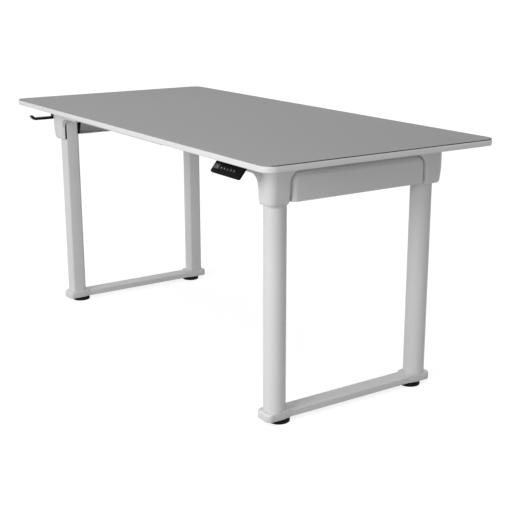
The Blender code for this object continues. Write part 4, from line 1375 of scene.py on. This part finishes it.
@dataclass
class Handset(SubAssembly):
    """The thin tilted keypad under the front edge, made flat and then tilted into place.

    Flat, X runs along the desk, Y up the face and Z out of it, from the top edge of the face.
    """

    thickness: float = 0.0062
    corner: float = 0.0055
    edge: float = 0.0008
    proud: float = 0.0006
    key_body: float = 0.0030
    key_travel: float = 0.0010
    key_along: float = 0.0234
    key_size: Point = (0.0110, 0.0090)
    key_corner: float = 0.0020
    window_along: Point = (0.0150, 0.0285)
    window_depth: float = 0.0015
    lean: Point = (0.0253, 0.0314)
    clearance: float = 0.0003
    print_depth: float = 0.00004
    mount_span: Point = (0.033, 0.098)
    mount_depth: Point = (0.0035, 0.0255)
    mount_height: float = 0.0040
    mark_half: float = 0.0018
    dot_pitch: float = 0.0014
    bar_places: Point = (0.40, 0.62)
    bar_half: Point = (0.0005, 0.0028)

    def __post_init__(self) -> None:
        """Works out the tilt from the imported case."""
        box = Box.of("handset_case")
        self.span = (box.low.x, box.high.x)
        self.ceiling = box.high.z
        self.length = math.hypot(*self.lean)
        up = Vector((0.0, self.lean[0], self.lean[1])) / self.length
        out = Vector((0.0, -up.z, up.y))
        self.front = Vector((0.0, box.low.y + self.edge * 0.5 + self.lean[0] - 0.0004, self.ceiling))
        self.tilt = Matrix.Translation(self.front) @ Matrix(
            (Vector((1.0, 0.0, 0.0)), up, out)
        ).transposed().to_4x4()

    def tilted(self, obj: bpy.types.Object) -> bpy.types.Object:
        """Tilts a flat piece into place."""
        obj.data.transform(self.tilt)
        return obj

    def plate(
        self, name: str, x: Point, along: Point, depth: Point, corner: float, edge: float
    ) -> bpy.types.Object:
        """A flat plate with round corners and a softened edge.

        Args:
            name: The plate's name.
            x: Its span along the desk.
            along: Its span down the face.
            depth: Its span out of the face.
            corner: Radius of its corners.
            edge: Radius of the edge round its outer face.

        Returns:
            The plate, flat.
        """
        outline = rounded((x[0], -along[1]), (x[1], -along[0]), corner, 8)
        plate = Bench.drawn(name, [outline], Axis.Z, *depth)
        return Bench.soften(plate, edge, 3, chosen=lambda a, b: min(a.z, b.z) > depth[1] - 0.00001)

    def case(self) -> bpy.types.Object:
        """Makes the case: a panel cut off level under the board, with the block that fixes it.

        Returns:
            The case, in place.
        """
        outline = rounded((self.span[0], -self.length), (self.span[1], 0.012), self.corner, 10)
        panel = Bench.drawn("panel", [outline], Axis.Z, -self.thickness, 0.0)
        self.tilted(Bench.soften(panel, self.edge, 4))
        left, right = self.span
        low, back, top = self.ceiling - self.mount_height, self.front.y, self.ceiling
        (x0, x1), (y0, y1) = self.mount_span, self.mount_depth
        mount = Bench.box("mount", (left + x0, back + y0, low), (left + x1, back + y1, top))
        Bench.soften(mount, self.edge, 2)
        above = Bench.box("above", (left - 0.01, back - 0.05, top), (right + 0.01, back + 0.05, 0.75))
        return Bench.cut(Bench.weld(panel, mount), above)

    def marks(self, centre: float, kind: int) -> bpy.types.Object:
        """A plain printed mark: an arrow head up or down for the first two keys, else a short bar with dots.

        Args:
            centre: The key's middle along the desk.
            kind: The key's number, from 0.

        Returns:
            The mark, in place.
        """
        x, y, half = centre, -self.key_along, self.mark_half
        if kind < 2:
            tip = 0.0017 if kind == 0 else -0.0017
            loops = [[(x - 0.0020, y - tip * 0.7), (x + 0.0020, y - tip * 0.7), (x, y + tip)]]
        else:
            dots = [x + (dot - (kind - 2) / 2) * self.dot_pitch for dot in range(kind - 1)]
            loops = [rounded((x - half, y - half / 6), (x + half, y + half / 6), 0.00025, 3)]
            loops += [arc((dot, y + 0.0016), 0.0004, 0, 337.5, 15) for dot in dots]
        depth = (self.proud, self.proud + self.print_depth)
        pieces = [Bench.drawn("mark", [loop], Axis.Z, *depth) for loop in loops]
        return self.tilted(Bench.gather(f"key_mark_{kind + 1}", pieces))

    def pocket(self, x: Point, along: Point, bottom: float, corner: float) -> bpy.types.Object:
        """The room for a key or the window, with clearance all round.

        Args:
            x: Its span along the desk.
            along: Its span down the face.
            bottom: How deep the piece reaches, as a height below zero.
            corner: Radius of its corners.

        Returns:
            The cutter, in place.
        """
        gap = self.clearance
        spans = ((x[0] - gap, x[1] + gap), (along[0] - gap, along[1] + gap), (bottom - gap, 0.002))
        return self.tilted(self.plate("room", *spans, corner, 0.0002))

    def build(self) -> None:
        """Builds the case, window, keys and their marks."""
        case = self.case()
        half = (self.key_size[0] / 2, self.key_size[1] / 2)
        along = (self.key_along - half[1], self.key_along + half[1])
        bottom = self.proud - self.key_body
        for index in range(5):
            node = f"handset_key_{index + 1}"
            centre = Box.of(node).middle.x
            x = (centre - half[0], centre + half[0])
            Bench.cut(case, self.pocket(x, along, bottom - self.key_travel, self.key_corner))
            key = self.plate(
                f"keypad_key_{index + 1}", x, along, (bottom, self.proud), self.key_corner, 0.0003
            )
            self.fit(self.tilted(key), KEY, node, node)
            self.mount(self.wear(self.marks(centre, index), KEY_MARK), node)
        window = Box.of("handset_display")
        x, along = (window.low.x, window.high.x), self.window_along
        Bench.cut(case, self.pocket(x, along, -self.window_depth, 0.001))
        glass = self.plate("keypad_window", x, along, (-self.window_depth, 0.0), 0.0009, 0.0002)
        self.fit(self.tilted(glass), WINDOW, LIFT, "handset_display")
        bars = []
        for share in self.bar_places:
            across, up = x[0] + (x[1] - x[0]) * share, -sum(along) / 2
            wide, tall = self.bar_half
            loop = rounded((across - wide, up - tall), (across + wide, up + tall), 0.0004, 3)
            bars.append(Bench.drawn("bar", [loop], Axis.Z, 0.0, self.print_depth))
        self.mount(self.wear(self.tilted(Bench.gather("window_bars", bars)), KEY_MARK), LIFT)
        case.name = case.data.name = "keypad_case"
        self.fit(case, PLASTIC, LIFT, "handset_case")


@dataclass
class Hook(SubAssembly):
    """The hook for headphones: a thick strip bent three times."""

    thickness: float = 0.0085
    plate: float = 0.0350
    reach: float = 0.0750
    drop: float = 0.0416
    tip: float = 0.0150
    bend: float = 0.0085
    edge: float = 0.0016

    def spine(self, path: Sequence[Point]) -> Loop:
        """Rounds the bends of the strip's middle line.

        Args:
            path: Its ends and corners, in (y, z).

        Returns:
            The points of the rounded line.
        """
        points = [path[0]]
        for before, corner, after in zip(path, path[1:], path[2:]):
            here = Vector(corner)
            into, away = (Vector(before) - here).normalized(), (Vector(after) - here).normalized()
            reach = self.bend / math.tan(into.angle(away) / 2)
            start, stop = here + into * reach, here + away * reach
            for i in range(11):
                t = i / 10
                points.append(tuple(start * (1 - t) ** 2 + here * (2 * t * (1 - t)) + stop * t**2))
        return [*points, path[-1]]

    def build(self) -> None:
        """Builds the hook."""
        box = Box.of("headphone_hook")
        half = self.thickness / 2
        back, top = box.high.y, box.high.z - half
        upright = back - self.plate - half
        arm = box.high.z - self.drop - half
        front = back - self.plate - self.reach
        slope = self.tip - half
        path = [(back, top), (upright, top), (upright, arm), (front - half * 0.4, arm), (
            front - slope, arm + slope
        )]
        middle = self.spine(path)
        sides: tuple[Loop, Loop] = ([], [])
        for i, (y, z) in enumerate(middle):
            y0, z0 = middle[max(i - 1, 0)]
            y1, z1 = middle[min(i + 1, len(middle) - 1)]
            across = Vector((z1 - z0, y0 - y1)).normalized() * half
            sides[0].append((y + across.x, z + across.y))
            sides[1].append((y - across.x, z - across.y))
        hook = Bench.drawn("bag_hook", [sides[0] + sides[1][::-1]], Axis.X, box.low.x, box.high.x)
        self.fit(Bench.soften(hook, self.edge), BLACK_STEEL, LIFT, "headphone_hook")


# ---------------------------------------------------------------- studio
@dataclass
class Studio:
    """Floor, light and camera."""

    lens: float = 72.02
    place: Triple = (2.7202, -1.6703, 1.1603)
    tilt: float = -15.456
    roll: float = 0.114
    heading: float = 56.633
    ambient: float = 0.38
    key: float = 94.0
    key_place: Triple = (1.20, -3.75, 1.83)
    key_aim: Triple = (0.30, 0.0, 0.45)
    key_size: float = 2.4
    top: float = 0.92
    top_azimuth: float = -60.0
    top_elevation: float = 78.0
    top_size: float = 60.0
    bounce: float = 0.50
    floor_shade: float = 0.28
    floor_glow: float = 0.85
    floor_reach: float = 60.0

    def camera(self) -> None:
        """Sets the camera."""
        data = bpy.data.cameras.new("camera")
        data.lens = self.lens
        data.sensor_width = 36.0
        data.clip_start, data.clip_end = 0.05, 100.0
        obj = Bench.hold("camera", data)
        obj.location = self.place
        obj.rotation_euler = (
            math.radians(90 + self.tilt), math.radians(self.roll), math.radians(self.heading)
        )
        bpy.context.scene.camera = obj

    def lamp(self, name: str, kind: str, energy: float, towards: Vector) -> bpy.types.Object:
        """Adds a lamp.

        Args:
            name: The lamp's name.
            kind: AREA or SUN.
            energy: Its power or strength.
            towards: Direction it comes from.

        Returns:
            The lamp.
        """
        data = bpy.data.lights.new(name, kind)
        data.energy = energy
        obj = Bench.hold(name, data)
        obj.rotation_mode = "QUATERNION"
        obj.rotation_quaternion = towards.to_track_quat("Z", "Y")
        return obj

    def lamps(self) -> None:
        """Adds a round softbox in front, whose light falls off towards the back, and a broad one overhead."""
        place = Vector(self.key_place)
        softbox = self.lamp("key_softbox", "AREA", self.key, place - Vector(self.key_aim))
        softbox.location = place
        softbox.data.shape = "DISK"
        softbox.data.size = self.key_size
        a, e = math.radians(self.top_azimuth), math.radians(self.top_elevation)
        towards = Vector((math.cos(a) * math.cos(e), math.sin(a) * math.cos(e), math.sin(e)))
        self.lamp("overhead_softbox", "SUN", self.top, towards).data.angle = math.radians(self.top_size)

    def world(self) -> None:
        """Sets a soft ambient light, and a white backdrop for the camera and for gloss."""
        world = bpy.data.worlds.new("studio")
        bpy.context.scene.world = world
        nodes = Nodes(world)
        nodes.tree.nodes.clear()
        soft, white = (nodes.add("ShaderNodeBackground", WHITE, strength) for strength in (self.ambient, 1.0))
        mix = nodes.add("ShaderNodeMixShader", nodes.seen(), soft.outputs[0], white.outputs[0])
        nodes.add("ShaderNodeOutputWorld", mix.outputs[0])

    def floor(self) -> None:
        """Lays a pale floor that is white to the camera and keeps the desk's shadow."""
        corners = [
            (x * self.floor_reach, y * self.floor_reach, 0) for x, y in ((-1, -1), (1, -1), (1, 1), (-1, 1))
        ]
        mesh = bpy.data.meshes.new("floor")
        mesh.from_pydata(corners, [], [(0, 1, 2, 3)])
        floor = Bench.hold("floor", mesh)
        material = bpy.data.materials.new("pale_floor")
        nodes = Nodes(material)
        nodes.tree.nodes.clear()
        matt, shown = (
            nodes.add(
                "ShaderNodeBsdfDiffuse", (shade, shade, shade, 1.0)
            ) for shade in (self.bounce, self.floor_shade)
        )
        glow = nodes.add("ShaderNodeEmission", WHITE, self.floor_glow)
        both = nodes.add("ShaderNodeAddShader", shown.outputs[0], glow.outputs[0])
        mix = nodes.add("ShaderNodeMixShader", nodes.seen(), matt.outputs[0], both.outputs[0])
        nodes.add("ShaderNodeOutputMaterial", mix.outputs[0])
        mesh.materials.append(material)

    def build(self) -> None:
        """Sets up the studio."""
        bpy.context.scene.view_settings.view_transform = "Standard"
        self.camera()
        self.world()
        self.lamps()
        self.floor()


def clear_startup() -> None:
    """Removes what Blender starts with."""
    for obj in list(bpy.data.objects):
        bpy.data.objects.remove(obj, do_unlink=True)


def main() -> None:
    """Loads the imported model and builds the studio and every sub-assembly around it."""
    logging.basicConfig(level=logging.INFO, format="%(name)s: %(message)s")
    clear_startup()
    FRAME.update(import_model())
    Studio().build()
    for kind in (Desktop, CornerCastings, Columns, EndFrames, Crossbeams, ControlUnit, Handset, Hook):
        LOG.info("building %s", kind.__name__)
        kind().build()


if __name__ == "__main__":
    main()
